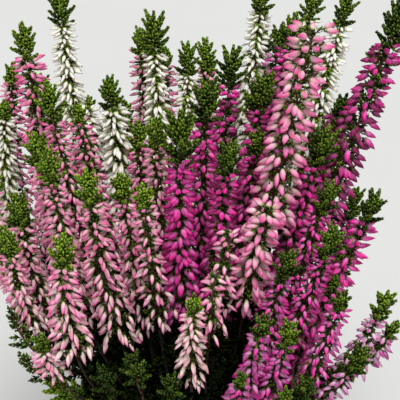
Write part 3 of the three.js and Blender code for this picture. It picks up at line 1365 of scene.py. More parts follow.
@dataclass(frozen=True)
class TuftForm:
    """The leafy tip above the flowers: stubby fingers in tiers round a leader.

    Lengths are millimetres and leans degrees. The places run from 0 at the tuft's foot to 1 at its
    top. A pinched tuft is a leader only, and a feathery one has long open branchlets.
    """

    fingers: float = 16
    fingers_power: float = 0.8
    leader: float = 6.6
    leader_power: float = 0.6
    leader_overlap: float = 0.95
    foot: float = 1.5
    crowding: float = 0.9
    lean_places: tuple[float, ...] = (0, 0.4, 1)
    leans: tuple[float, ...] = (64, 48, 26)
    lean_off: Span = (0.9, 1.1)
    reach_places: tuple[float, ...] = (0, 0.3, 0.7, 1)
    reaches: tuple[float, ...] = (0.88, 1.1, 0.9, 0.62)
    reach_off: Span = (0.86, 1.08)
    least: float = 3.4
    most: float = 7.0
    most_power: float = 1.2
    shade_power: float = 1.5
    lighter: float = 0.04
    pinched_below: float = 0.5
    pinched_drop: float = 3.6
    pinched_tint: float = 0.4
    feather_foot: float = 3
    feather_drop: float = 4
    feather_leans: Span = (62, 12)
    feather_sizes: Span = (8.5, 4.6)
    feather_off: Span = (0.85, 1.1)
    # Tufts in front of this line gain their kind's painted light, in full this much further forward.
    front: float = 20
    front_depth: float = 50


@dataclass(frozen=True)
class ThicketForm:
    """Feathery branchlets below the flowers and twigs among them. Lengths are millimetres.

    A stem whose flowers are short has smaller branchlets over a short way.
    """

    over_flowers: float = 6
    short_bloom: float = 20
    short_way: float = 18
    short_size: float = 0.7
    gap: float = 2.1
    feather_gap: float = 2.6
    height_off: float = 1
    leans: Span = (40, 76)
    sizes: Span = (7.0, 11.0)
    wildest: float = 1.08
    inner_drop: float = 4
    inner_gap: float = 2.4
    inner_leans: Span = (35, 65)
    inner_sizes: Span = (0.5, 0.84)
    inner_wildest: float = 1.25


@dataclass(frozen=True)
class Spray:
    """One spray or leafy shoot: its stems' tips, and what sets it apart from others of its kind.

    Its first tip is the one that roots in the soil, and the others fork from it low down. What is
    None is as the kind has it. It may have feathers in its tuft, a bare foot, in millimetres, a tuft
    with more painted shade at its foot, undergrowth with less painted shade, and more undergrowth where
    it is wild.
    """

    tips: tuple[Tip, ...]
    tint: float | None = None
    habit: Habit | None = None
    tuft_tint: float | None = None
    inner_tint: float | None = None
    feathers: int = 0
    bare: float = 4.0
    shaded: float = 0.16
    dull: float = 0.06
    wild: float = 1.0

    @staticmethod
    def of(*rows: Row, **own: object) -> "Spray":
        """A spray from its tips' rows of numbers and what is its own."""
        return Spray(tuple(Tip(*row) for row in rows), **own)


@dataclass(frozen=True)
class Kind:
    """One kind of plant in the pot, and what its sprays share.

    Its tuft tint is that of the leafy tips at the back, and the painted light that they gain at the
    front. Its inner tint is that of the leaves among the flowers.
    """

    prefix: str
    bloom: Bloom
    sprays: tuple[Spray, ...]
    habit: Habit | None = None
    tuft_tint: Span = (0.0, 0.0)
    inner_tint: float = 0.0


@dataclass
class Plant:
    """One spray or leafy shoot of the solids, with its buds, its leaves and its wood."""

    node: str
    kind: Kind
    spray: Spray
    seed: int
    tint: float
    kit: Workshop
    others: Neighbours = field(default_factory=lambda: Neighbours([]))
    wood_form: WoodForm = WoodForm()
    bud_form: BudForm = BudForm()
    stalk_form: StalkForm = StalkForm()
    branchlet_form: BranchletForm = BranchletForm()
    tuft_form: TuftForm = TuftForm()
    thicket_form: ThicketForm = ThicketForm()

    def __post_init__(self) -> None:
        """Sets out the stems."""
        first = Stem(self.spray.tips[0])
        self.stems = [first]
        for order, tip in enumerate(self.spray.tips[1:]):
            self.stems.append(Stem(tip, first, order))
        self.habit = self.spray.habit or self.kind.habit
        self.rng = np.random.default_rng(self.seed)
        self.buds, self.leaves, self.wood = Batch(), Batch(), Batch()

    def tube(self, stem: Stem) -> None:
        """Adds a stem's wood, closed at both ends, from its foot to the top of its tuft.

        Args:
            stem: the stem.
        """
        form = self.wood_form
        sides = form.sides
        steps = max(form.least_steps, round((stem.top - stem.bottom) / form.step))
        heights = np.linspace(stem.bottom, stem.top - form.below_top, steps)
        share = (heights - stem.bottom) / (stem.top - stem.bottom)
        radius = form.radius if stem.first is None else form.fork_radius
        radius = radius * (1 - form.taper * share**form.taper_power)
        radius = radius * (1 + form.swell * np.sin(heights * form.swell_rate + self.seed))
        angles = np.linspace(0, 2 * np.pi, sides, endpoint=False)
        side, back = stem.across(heights)
        ring = (
            side[:, None, :] * np.cos(angles)[None, :, None]
            + back[:, None, :] * np.sin(angles)[None, :, None]
        )
        centre = stem.points(heights)
        points = (centre[:, None, :] + ring * radius[:, None, None]).reshape(-1, 3)
        points = np.concatenate([points, centre[:1], centre[-1:]])
        faces = []
        for step in range(steps - 1):
            for corner in range(sides):
                a = step * sides + corner
                b = step * sides + (corner + 1) % sides
                faces += [(a, b, b + sides), (a, b + sides, a + sides)]
        foot, last = len(points) - 2, (steps - 1) * sides
        for corner in range(sides):
            after = (corner + 1) % sides
            faces += [(foot, after, corner), (foot + 1, last + corner, last + after)]
        age = np.append(np.repeat(share, sides), [0.0, 1.0])
        middling = np.full(len(age), 0.5)
        chance = np.full(len(age), self.rng.uniform())
        growth = np.column_stack([age, middling, chance, middling])
        self.wood.add(points, np.array(faces), growth)

    def flowers(self, stem: Stem) -> None:
        """Adds a stem's buds in tiers, nodding more the lower they hang.

        Args:
            stem: the stem.
        """
        rng, habit, form = self.rng, self.habit, self.bud_form
        tiers = max(2, round(stem.bloom / habit.tier))
        to_tier = round(habit.to_tier * max(1.0, stem.tip.girth) ** form.girth_crowd)
        many = tiers * to_tier
        tier = np.repeat(np.arange(tiers), to_tier)
        place = np.tile(np.arange(to_tier), tiers)
        stagger = rng.uniform(-0.5, 0.5, many)
        age = 1 - (1 - np.clip((tier + 0.5 + stagger) / tiers, 0, 1)) ** form.crowding
        inner = rng.uniform(0, 1, many) < form.inner_share
        turn = (place + 0.5 * (tier % 2)) * 2 * np.pi / to_tier + form.twist * tier
        turn = turn + rng.uniform(-form.turn_off, form.turn_off, many)
        pitch = np.interp(age, habit.ages, habit.pitches) - habit.nod
        pitch = pitch + rng.uniform(-habit.wander, habit.wander, many)
        pitch = np.radians(np.clip(pitch, *form.pitch_range))
        stout = stem.tip.girth**0.5
        young = age**form.young_power
        length = habit.length * stout * rng.uniform(*form.length_off, many)
        length = length * (1 - form.young_shorter * young)
        width = habit.half_width * stout * rng.uniform(*form.width_off, many)
        width = width * (1 - form.young_slimmer * young)
        reach = habit.reach(stem, age) * rng.uniform(*form.reach_off, many)
        reach = reach * np.where(inner, rng.uniform(*form.inner_reach, many), 1.0)
        out = outward(turn)
        ahead = out * np.cos(pitch)[:, None] + UP * np.sin(pitch)[:, None]
        start = np.maximum(form.least_stalk, reach - length * np.cos(pitch))
        pinched = stem.tip.tuft < self.tuft_form.pinched_below
        top = stem.top - form.bare_crown if pinched else stem.bud_top
        root = stem.points(stem.bud_bottom + (top - stem.bud_bottom) * age)
        foot = root + out * start[:, None] + UP * (start * form.stalk_rise)[:, None]
        end = foot + ahead * length[:, None]
        scale = self.others.drawn_in(stem, end)
        centre = stem.at(end[:, 2])
        foot[:, :2] += (centre + (end[:, :2] - centre) * scale[:, None]) - end[:, :2]
        kept = scale > form.least_room
        foot, root, ahead, out = foot[kept], root[kept], ahead[kept], out[kept]
        length, width, age = length[kept], width[kept], age[kept]
        many = len(foot)
        chance = rng.uniform(0, 1, many)
        tint = self.tint + stem.tip.deeper + habit.ageing * (1 - age) ** 2
        roll = rng.uniform(0, 2 * np.pi, many)
        tint = np.clip(tint, 0, 1)
        self.buds.copy(self.kit.bud, foot, ahead, roll, length, width, chance, tint)
        self.stalks(root, foot, ahead, out)

    def stalks(
        self, root: np.ndarray, foot: np.ndarray, ahead: np.ndarray, out: np.ndarray
    ) -> None:
        """Adds the stalk, the bract and the small leaves that belong to each bud.

        Args:
            root: where each stalk leaves the stem.
            foot: the foot of each bud.
            ahead: which way each bud points.
            out: which way each stalk leaves.
        """
        rng, kit, form = self.rng, self.kit, self.stalk_form
        many = len(foot)
        ones = np.ones(many)
        stalk = foot + ahead * form.into_bud - root
        spin = rng.uniform(0, 2 * np.pi, many)
        length = np.linalg.norm(stalk, axis=1)
        self.wood.copy(
            kit.twig, root, stalk, spin, length, ones * form.radius, spin / 7, ones * 0.5
        )
        self.wood.growth[-1][:, 0] = form.wood_age
        across = unit(np.cross(ahead, UP))
        away = across * np.sin(spin)[:, None] + np.cross(across, ahead) * np.cos(spin)[:, None]
        lighter = form.white_lighter if self.kind.bloom is Bloom.WHITE else form.others_lighter
        shade = rng.uniform(*form.bract_tint, many) + lighter
        start = foot + away * form.bract_off - ahead * form.bract_off
        lean = ahead + away * form.bract_lean
        length = rng.uniform(*form.bract_length, many)
        self.leaves.copy(
            kit.twig, start, lean, spin, length, ones * form.bract_radius, shade, shade
        )
        for share, lift in form.leaves:
            pick = rng.uniform(0, 1, many) < share
            some = pick.sum()
            along = rng.uniform(*form.leaf_places, (some, 1))
            off = rng.uniform(-form.leaf_off, form.leaf_off, (some, 3))
            self.leaves.copy(
                kit.leaf,
                root[pick] + (foot - root)[pick] * along,
                out[pick] * form.leaf_out + UP * lift + off,
                rng.uniform(-form.leaf_off, form.leaf_off, some),
                rng.uniform(*form.leaf_length, some),
                np.full(some, form.leaf_width),
                rng.uniform(0, 1, some),
                shade[pick] * form.leaf_darker,
            )

    def branchlets(
        self,
        stem: Stem,
        heights: np.ndarray,
        lean: np.ndarray,
        size: np.ndarray,
        tint: float | np.ndarray,
        among: Neighbours | None = None,
    ) -> None:
        """Adds leafy branchlets that climb from a stem: plump in a tuft, open and feathery elsewhere.

        Args:
            stem: the stem.
            heights: where each branchlet starts.
            lean: angle of each from the stem, in radians.
            size: length of each in millimetres.
            tint: from 0, dark, to 1, yellow green, for all or for each.
            among: the stems to stay clear of, or None in a plump tuft, which has its own room.
        """
        rng, form = self.rng, self.branchlet_form
        many = len(heights)
        tints = np.full(many, tint)
        turn = np.arange(many) * GOLDEN_ANGLE + rng.uniform(-form.turn_off, form.turn_off, many)
        turn = turn + self.seed
        side, back = stem.across(heights)
        out = side * np.cos(turn)[:, None] + back * np.sin(turn)[:, None]
        ahead = out * np.sin(lean)[:, None] + stem.along(heights) * np.cos(lean)[:, None]
        start = stem.points(heights) + out * form.start
        sprigs, lengths = self.kit.closed_sprigs, [sprig.length for sprig in CLOSED_SPRIGS]
        if among is not None:
            sprigs, lengths = [self.kit.open_sprig], [OPEN_SPRIG.length]
            end = start + ahead * size[:, None]
            scale = among.drawn_in(stem, end)
            over_rim = end[:, 2] < form.rim_height
            over_rim &= np.hypot(end[:, 0], end[:, 1]) > form.rim_radius
            keep = (scale > form.least_room) & ~over_rim
            start, ahead, tints = start[keep], ahead[keep], tints[keep]
            size = (size * np.clip(scale, form.least_size, 1))[keep]
            many = len(size)
        chances = rng.uniform(0, 1, many)
        which = np.abs(size[:, None] - np.array(lengths)[None, :]).argmin(1)
        for number, sprig in enumerate(sprigs):
            mine = which == number
            scale = size[mine] / lengths[number]
            roll = rng.uniform(0, np.pi, mine.sum())
            width = np.clip(scale, *form.width_range)
            self.leaves.copy(
                sprig, start[mine], ahead[mine], roll, scale, width, chances[mine], tints[mine]
            )

    def tuft(self, stem: Stem) -> None:
        """Adds the leafy tip above the flowers.

        Args:
            stem: the stem.
        """
        rng, form = self.rng, self.tuft_form
        scale = stem.tip.tuft
        tint = self.leaf_tint(stem)
        feathers = self.spray.feathers
        if feathers:
            foot, top = stem.bud_top - form.feather_foot, stem.top - form.feather_drop
            lean = np.radians(np.linspace(*form.feather_leans, feathers))
            size = np.linspace(*form.feather_sizes, feathers)
            size = size * rng.uniform(*form.feather_off, feathers)
            heights = np.linspace(foot, top, feathers)
            self.branchlets(stem, heights, lean, size, tint, Neighbours([]))
            return
        if scale < form.pinched_below and stem.bloom > self.thicket_form.short_bloom:
            self.leader(stem, stem.top - form.pinched_drop, form.least, form.pinched_tint)
            return
        count = round(form.fingers * scale**form.fingers_power)
        share = (np.arange(count) + 0.5) / count
        leader = form.leader * scale**form.leader_power
        climb = stem.tuft_length + form.foot - leader * form.leader_overlap
        heights = stem.bud_top - form.foot + climb * share**form.crowding
        lean = np.interp(share, form.lean_places, form.leans) * rng.uniform(*form.lean_off, count)
        lean = np.radians(lean)
        reach = stem.tuft_reach * np.interp(share, form.reach_places, form.reaches)
        size = reach * rng.uniform(*form.reach_off, count) / np.sin(lean)
        size = np.clip(size, form.least, form.most * max(1.0, scale) ** form.most_power)
        # Painted shade: a tuft's lower fingers are darker, as its foot lies in shade.
        shaded = self.spray.shaded * (1 - share) ** form.shade_power
        tints = np.clip(tint + form.lighter - shaded, 0, 1)
        self.branchlets(stem, heights, lean, size, tints)
        self.leader(stem, stem.top - leader, leader, tint)

    def leader(self, stem: Stem, height: float, length: float, tint: float) -> None:
        """Adds the upright branchlet that ends a stem, at a height and of a length."""
        self.branchlets(stem, np.array([height]), np.zeros(1), np.array([length]), tint)

    def leaf_tint(self, stem: Stem) -> float:
        """Chooses a tuft's green: by the kind of heather, and lighter at the front as painted light.

        Args:
            stem: the stem.

        Returns:
            The tint, from 0 to 1.
        """
        # A leafy shoot's tint is given with its spray; the low shoots' darker greens are partly painted
        # shade.
        if self.kind.bloom is Bloom.NONE:
            return self.tint
        # A spray's own tuft tint is given one by one; its brightness is partly painted light and shade
        # for where the tuft stands.
        if self.spray.tuft_tint is not None:
            return self.spray.tuft_tint
        form = self.tuft_form
        near = smoothstep(np.array((-stem.tip.y - form.front) / form.front_depth))
        back, gain = self.kind.tuft_tint
        return back + gain * float(near)

    def undergrowth(self, stem: Stem) -> None:
        """Adds feathery branchlets, darkened with painted shade, below the flowers, or all the way up a
        leafy shoot.

        Args:
            stem: the stem.
        """
        rng, form, spray = self.rng, self.thicket_form, self.spray
        leafy = stem.bloom == 0
        short = stem.bloom < form.short_bloom
        low = max(stem.bottom, FOUNTAIN.soil_top) + spray.bare
        high = stem.bud_top if leafy else stem.bud_bottom + form.over_flowers
        if short and not leafy:
            high = low + form.short_way
        gap = form.feather_gap if spray.feathers else form.gap
        count = int(spray.wild * (high - low) / gap)
        if count < 1:
            return
        heights = np.linspace(low, high, count)
        heights = heights + rng.uniform(-form.height_off, form.height_off, count)
        lean = np.radians(rng.uniform(*form.leans, count))
        size = rng.uniform(*form.sizes, count) * (form.short_size if short else stem.tip.girth)
        size = size * min(spray.wild, form.wildest)
        # The undergrowth's low tint paints the shade deep in the bunch onto its leaves.
        self.branchlets(stem, heights, lean, size, spray.dull, self.others)
        if not leafy:
            self.inner_twigs(stem, high)

    def inner_twigs(self, stem: Stem, low: float) -> None:
        """Adds leafy twigs among a stem's flowers, from a height up.

        Args:
            stem: the stem.
            low: the height.
        """
        rng, form, spray = self.rng, self.thicket_form, self.spray
        high = stem.bud_top - form.inner_drop
        count = round(spray.wild * (high - low) / form.inner_gap)
        heights = np.linspace(low, high, count)
        lean = np.radians(rng.uniform(*form.inner_leans, count))
        size = self.habit.reach(stem, np.linspace(0, 1, count))
        size = size * rng.uniform(*form.inner_sizes, count) * min(spray.wild, form.inner_wildest)
        tint = self.kind.inner_tint if spray.inner_tint is None else spray.inner_tint
        self.branchlets(stem, heights, lean, size, tint, self.others)

    def build(self) -> list[bpy.types.Object]:
        """Builds and dresses the spray, and puts its pieces in place of its solid.

        Returns:
            Its leaves, its wood and, where it flowers, its buds.
        """
        for stem in self.stems:
            self.tube(stem)
            if stem.bloom > 0:
                self.flowers(stem)
            self.tuft(stem)
            self.undergrowth(stem)
        parts = [
            (self.leaves, "leaves", "foliage", self.kit.foliage),
            (self.wood, "stem", "woody_stem", self.kit.bark),
        ]
        bloom = self.kind.bloom
        if bloom is not Bloom.NONE:
            parts.append((self.buds, "buds", bloom.value, self.kit.petals[bloom]))
        pieces = []
        for batch, part, slot, material in parts:
            piece = batch.build(f"{self.node}_{part}", material)
            dress(piece, self.node, slot)
            pieces.append(piece)
        return pieces


# Pitches of buds that are held almost level, and habits of sprays that differ from their kind.
LEVEL = (-50, -36, -26, -16, -4, 12)
STOUT_HABIT = Habit(5.9, 1.32, 3.3, 6, ageing=-0.05, wander=18.0, narrow=0.9, pitches=LEVEL)
TALL_HABIT = Habit(5.9, 1.3, 3.0, 7, ageing=0.2, wander=20.0, narrow=0.95, pitches=LEVEL)
LARGE_HABIT = Habit(6.6, 1.36, 3.6, 5, ageing=0.2, wander=20.0, pitches=LEVEL)
BRIGHT_HABIT = Habit(5.9, 1.34, 2.9, 7, ageing=0.05, wander=18.0, pitches=LEVEL)
NEAT_HABIT = Habit(5.0, 1.02, 2.9, 6, ageing=0.2, wander=24.0, pitches=LEVEL)
DENSE_HABIT = Habit(5.2, 0.94, 2.3, 7, ageing=-0.35, wander=20.0, narrow=0.8)
SPARSE_HABIT = Habit(5.0, 0.9, 3.5, 5, ageing=-0.3, wander=26.0)
SLENDER_HABIT = Habit(4.7, 0.9, 2.7, 6, ageing=0.1, wander=26.0)
SPREADING_HABIT = Habit(4.9, 0.92, 2.4, 7, wander=18.0, pitches=(-34, -28, -22, -14, -4, 12))

# Each spray gives its stems' tips: x, y, height and length in flower in millimetres, and then, where
# they differ from 1, 1 and 0, how stout its flowers and its tuft are and how much deeper its colour is.

WHITE_SPRAYS = (
    Spray.of((-60, 45, 257, 85, 1, 1.1)),
    Spray.of((-84, 35, 211, 76, 1, 0.6), wild=1.4),
    Spray.of((-39, 20, 226, 72, 1.35), (-49, 25, 211, 66, 1.3, 0.4)),
    Spray.of((-21, 42, 247, 77, 1, 1.2)),
    Spray.of((-7, 55, 231, 70)),
    Spray.of((26, 60, 257, 90)),
    Spray.of((47, 52, 256, 87)),
    Spray.of((59, 35, 257, 89, 1, 0.95), wild=1.5),
    Spray.of((22, 34, 218, 65)),
    Spray.of((14, 64, 206, 60)),
    Spray.of((2, 84, 214, 65), (6, 90, 186, 50)),
    Spray.of((-24, 80, 224, 70), (-20, 88, 182, 50)),
    Spray.of((-52, 66, 203, 60, 1, 0.7), (-46, 80, 184, 50)),
)

PALE_PINK_SPRAYS = (
    Spray.of((-71, 12, 250, 85, 1.2), (-82, 50, 223, 80, 1, 0.7), tint=0.72, wild=1.5),
    Spray.of((-61, -5, 231, 75, 1, 1.1), (-51, 8, 219, 74, 1, 0.6), tint=0.72),
    Spray.of((-63, -25, 218, 65, 1, 1.05), tint=0.62),
    Spray.of((-56, -42, 218, 60), tint=0.52),
    Spray.of((-27, 2, 213, 70, 1, 0.8), tint=0.66),
    Spray.of((-28, 62, 235, 70, 1, 0.8), tint=0.58),
    Spray.of((1, 73, 228, 70), tint=0.4),
    Spray.of((-19, -18, 221, 75, 1, 0.85), tint=0.5),
    Spray.of((-42, -52, 214, 64, 1.1), tint=0.58),
    Spray.of((-31, -38, 207, 60, 1, 0.8), tint=0.58),
    Spray.of((-22, -50, 208, 56, 1, 0.7), tint=0.6, habit=SPARSE_HABIT),
    Spray.of(
        (-72, -18, 191, 60), (-74, -30, 181, 34, 1, 0.8),
        tint=0.42, habit=DENSE_HABIT, wild=1.35,
    ),
    Spray.of((-49, -66, 196, 38, 1.2, 0.9), tint=0.5),
    Spray.of((-60, -62, 155, 12, 1.15, 0.6), tint=0.26, habit=SPREADING_HABIT, tuft_tint=0.68),
    Spray.of((-4, -74, 177, 33, 1, 0.55), tint=0.12, tuft_tint=0.74),
    Spray.of(
        (39, -20, 255, 80, 1.2, 0.4), (22, -50, 199, 42, 1.2, 0.4),
        tint=0.6, habit=STOUT_HABIT, inner_tint=0.66,
    ),
    Spray.of((8, -61, 195, 32, 1.05, 0.4), (3, -71, 183, 23, 1, 0.4), tint=0.6, habit=SPARSE_HABIT),
    Spray.of((-71, 57, 216, 75), (-69, 64, 180, 50), tint=0.5, wild=1.4),
    Spray.of((-88, 16, 190, 55), (-86, 6, 166, 40), tint=0.35),
    Spray.of((-17, 60, 227, 70, 1, 0.6), tint=0.65),
    Spray.of((-34, 38, 210, 66, 1, 0.7), tint=0.6),
)

# Tints near 1 take the deepest magenta, which is partly painted shade.
MAGENTA_SPRAYS = (
    Spray.of((-9, -35, 230, 72, 1.05, 1.45), tint=0.6, habit=BRIGHT_HABIT),
    Spray.of((12, 45, 232, 75, 1, 1.2), tint=0.9),
    Spray.of((1, -10, 234, 80, 1, 1.25), tint=0.74),
    Spray.of((24, 14, 230, 75, 1, 1.15), (21, -4, 212, 70, 1, 0.75), tint=0.84),
    Spray.of((37, 28, 250, 80), (33, 48, 241, 75, 1, 1, -1), tint=0.94),
    Spray.of(
        (75, 0, 262, 78, 1.05, 1.25), (57, 16, 220, 70, 1, 0.7),
        tint=0.96, habit=TALL_HABIT, tuft_tint=0.56, inner_tint=0.62, wild=1.4,
    ),
    Spray.of((47, -10, 216, 70, 1, 1.25), tint=0.82),
    Spray.of((47, -32, 202, 60), (47, -48, 191, 50), tint=0.6, habit=SLENDER_HABIT),
    Spray.of((9, -33, 218, 70), tint=0.9),
    Spray.of((20, -72, 168, 40, 1, 0.7), (13, -74, 146, 28, 1, 0.5), tint=0.34, habit=NEAT_HABIT),
    Spray.of(
        (30, -70, 164, 40, 1, 0.8), (30, -68, 135, 22, 1, 0.6),
        tint=0.43, habit=NEAT_HABIT, tuft_tint=0.7,
    ),
    Spray.of(
        (30, -58, 186, 50, 1, 0.9), (49, -62, 172, 40, 1, 0.55),
        tint=0.46, habit=SLENDER_HABIT, tuft_tint=0.56,
    ),
    Spray.of(
        (66, -22, 194, 60), (50, -34, 164, 45, 1, 0.6),
        tint=0.7, habit=LARGE_HABIT, tuft_tint=0.59, inner_tint=0.62,
    ),
    Spray.of(
        (67, -48, 165, 40, 1, 0.85), (73, -40, 148, 18, 1, 0.5),
        tint=0.1, habit=SLENDER_HABIT, tuft_tint=0.7,
    ),
    Spray.of((66, 24, 160, 50, 1, 0.7), (61, 8, 160, 45, 1, 0.7), tint=0.88),
    Spray.of((68, 44, 168, 50), tint=0.6),
    Spray.of(
        (52, 72, 226, 65), (60, 70, 186, 45), (60, 52, 206, 60, 1, 1, -0.9),
        tint=0.8, wild=1.3,
    ),
    Spray.of((28, 80, 230, 70), (34, 86, 190, 50), tint=0.8),
    Spray.of((58, -60, 149, 22), tint=0.06, habit=SLENDER_HABIT, tuft_tint=0.58),
)

LEAFY_SHOOTS = (
    Spray.of((-26, -70, 151, 0), (-13, -70, 142, 0), tint=0.52),
    Spray.of((-38, -66, 143, 0), tint=0.36),
    Spray.of((54, -52, 136, 0), (38, -67, 140, 0), tint=0.52),
    Spray.of((-61, -44, 124, 0, 1, 1.3), tint=0.98, bare=30.0, shaded=0.2),
    Spray.of((-75, -35, 150, 0), (-71, -44, 136, 0), tint=0.56, bare=34.0, feathers=11, dull=0.45),
)

KINDS = (
    Kind(
        "white_spray",
        Bloom.WHITE,
        WHITE_SPRAYS,
        Habit(5.7, 0.92, 2.5, 8, nod=8.0, ageing=0.4),
        tuft_tint=(0.71, 0.0),
        inner_tint=0.95,
    ),
    Kind(
        "pale_pink_spray",
        Bloom.PALE_PINK,
        PALE_PINK_SPRAYS,
        Habit(5.2, 0.9, 2.6, 6, ageing=-0.35, wander=20.0),
        tuft_tint=(0.76, 0.09),
        inner_tint=0.56,
    ),
    Kind(
        "magenta_spray",
        Bloom.MAGENTA,
        MAGENTA_SPRAYS,
        Habit(5.6, 1.2, 3.1, 6, ageing=0.2, wander=20.0, pitches=LEVEL),
        tuft_tint=(0.64, -0.02),
        inner_tint=0.46,
    ),
    Kind("leafy_shoot", Bloom.NONE, LEAFY_SHOOTS),
)


@dataclass
class Heather:
    """The three heathers and the leafy shoots, spray by spray."""

    kit: Workshop
    kinds: tuple[Kind, ...] = KINDS
    tint_range: float = 0.7
    golden_share: float = 0.381966

    def plants(self) -> list[Plant]:
        """Sets out all sprays, named as the solids are. Those with no tint take one in turn.

        Returns:
            The plants, not yet built.
        """
        found = []
        for order, kind in enumerate(self.kinds, start=1):
            for number, spray in enumerate(kind.sprays, start=1):
                name = f"{kind.prefix}_{number:02d}"
                tint = spray.tint
                if tint is None:
                    tint = self.tint_range * ((number * self.golden_share) % 1)
                found.append(Plant(name, kind, spray, 100 * order + number, tint, self.kit))
        return found

    def build(self) -> list[bpy.types.Object]:
        """Builds every spray clear of its neighbours.

        Returns:
            All pieces.
        """
        plants = self.plants()
        pieces = []
        for plant in plants:
            others = [stem for other in plants if other is not plant for stem in other.stems]
            plant.others = Neighbours(others)
            pieces += plant.build()
        return pieces


# ---- Pot and soil


@dataclass
class Pot:
    """A round nursery pot of thin plastic, with a banded rim and drain holes. Sizes are millimetres."""

    height: float = 97
    rim_radius: float = 53
    band: float = 10
    step: float = 1.6
    base_radius: float = 38
    chamfer: float = 1.5
    wall: float = 1.6
    belt_bottom: float = 14
    belt_drop: float = 15
    belt_relief: float = 0.5
    drains: int = 6
    drain_radius: float = 4
    drain_ring: float = 24
    drain_sides: int = 24
    sides: int = 96
    smooth_angle: float = 35

    def wall_radius(self, height: float) -> float:
        """The pot's outer radius below its rim band."""
        top = self.rim_radius - self.step
        return self.base_radius + (top - self.base_radius) * height / (self.height - self.band)

    def profile(self) -> list[Span]:
        """Sets out the edges, from the foot's outer edge round to the inner floor.

        Returns:
            Radius and height of each edge.
        """
        shoulder = self.height - self.band
        belt_top = shoulder - self.belt_drop
        inner_rim = self.rim_radius - self.wall
        return [
            (self.base_radius - self.chamfer, 0.0),
            (self.wall_radius(self.chamfer), self.chamfer),
            (self.wall_radius(self.belt_bottom), self.belt_bottom),
            (self.wall_radius(self.belt_bottom + 0.8) + self.belt_relief, self.belt_bottom + 0.8),
            (self.wall_radius(belt_top - 1) + self.belt_relief, belt_top - 1),
            (self.wall_radius(belt_top), belt_top),
            (self.wall_radius(shoulder - 0.4), shoulder - 0.4),
            (self.rim_radius - 0.3, shoulder + 0.2),
            (self.rim_radius, shoulder + 1),
            (self.rim_radius, self.height - 0.7),
            (self.rim_radius - 0.25, self.height - 0.2),
            (self.rim_radius - 0.8, self.height),
            (inner_rim, self.height - 0.3),
            (inner_rim - 0.2, self.height - 1),
            (self.wall_radius(shoulder) - self.wall, shoulder - 1),
            (self.wall_radius(self.wall) - self.wall, self.wall),
        ]

    def close(self, height: float) -> None:
        """Draws the selected edge in to a point on the Z axis at a height.

        Args:
            height: the height.
        """
        bpy.ops.mesh.extrude_region_move()
        bpy.ops.transform.resize(value=(0.0, 0.0, 1.0), center_override=(0, 0, height))
        bpy.ops.mesh.merge(type="CENTER")

    def shell(self) -> bpy.types.Object:
        """Models the wall and floor: a ring drawn up, over the rim and down inside, edge by edge.

        Returns:
            The shell, without drain holes.
        """
        profile = self.profile()
        foot = profile[0][0] * MM
        Bench.clear()
        bpy.ops.mesh.primitive_circle_add(vertices=self.sides, radius=foot, fill_type="NOTHING")
        made = Bench.current("pot_shell")
        bpy.ops.object.mode_set(mode="EDIT")
        bpy.ops.mesh.select_all(action="SELECT")
        self.close(0.0)
        Bench.pick(made, lambda co: co.xy.length > 0.5 * foot)
        for (radius, height), (wide, high) in zip(profile, profile[1:], strict=False):
            rise = (0, 0, (high - height) * MM)
            bpy.ops.mesh.extrude_region_move(TRANSFORM_OT_translate={"value": rise})
            Bench.widen(wide / radius, high * MM)
        self.close(profile[-1][1] * MM)
        bpy.ops.mesh.select_all(action="SELECT")
        bpy.ops.mesh.normals_make_consistent(inside=False)
        bpy.ops.object.mode_set(mode="OBJECT")
        return made

    def build(self, material: bpy.types.Material) -> bpy.types.Object:
        """Builds the pot, drills its drain holes and dresses it.

        Args:
            material: the plastic.

        Returns:
            The pot.
        """
        made = self.shell()
        for index in range(self.drains):
            angle = (index + 0.5) * TURN / self.drains
            x, y = self.drain_ring * math.cos(angle), self.drain_ring * math.sin(angle)
            Bench.clear()
            bpy.ops.mesh.primitive_cylinder_add(
                vertices=self.drain_sides,
                radius=self.drain_radius * MM,
                depth=(self.wall + 4) * MM,
                location=(x * MM, y * MM, self.wall / 2 * MM),
            )
            drill = Bench.current("drill")
            Bench.apply(made, "BOOLEAN", operation="DIFFERENCE", solver="EXACT", object=drill)
            bpy.data.objects.remove(drill)
        Bench.finish(made, "nursery_pot", material, self.smooth_angle)
        dress(made, "pot", "pot_plastic")
        return made


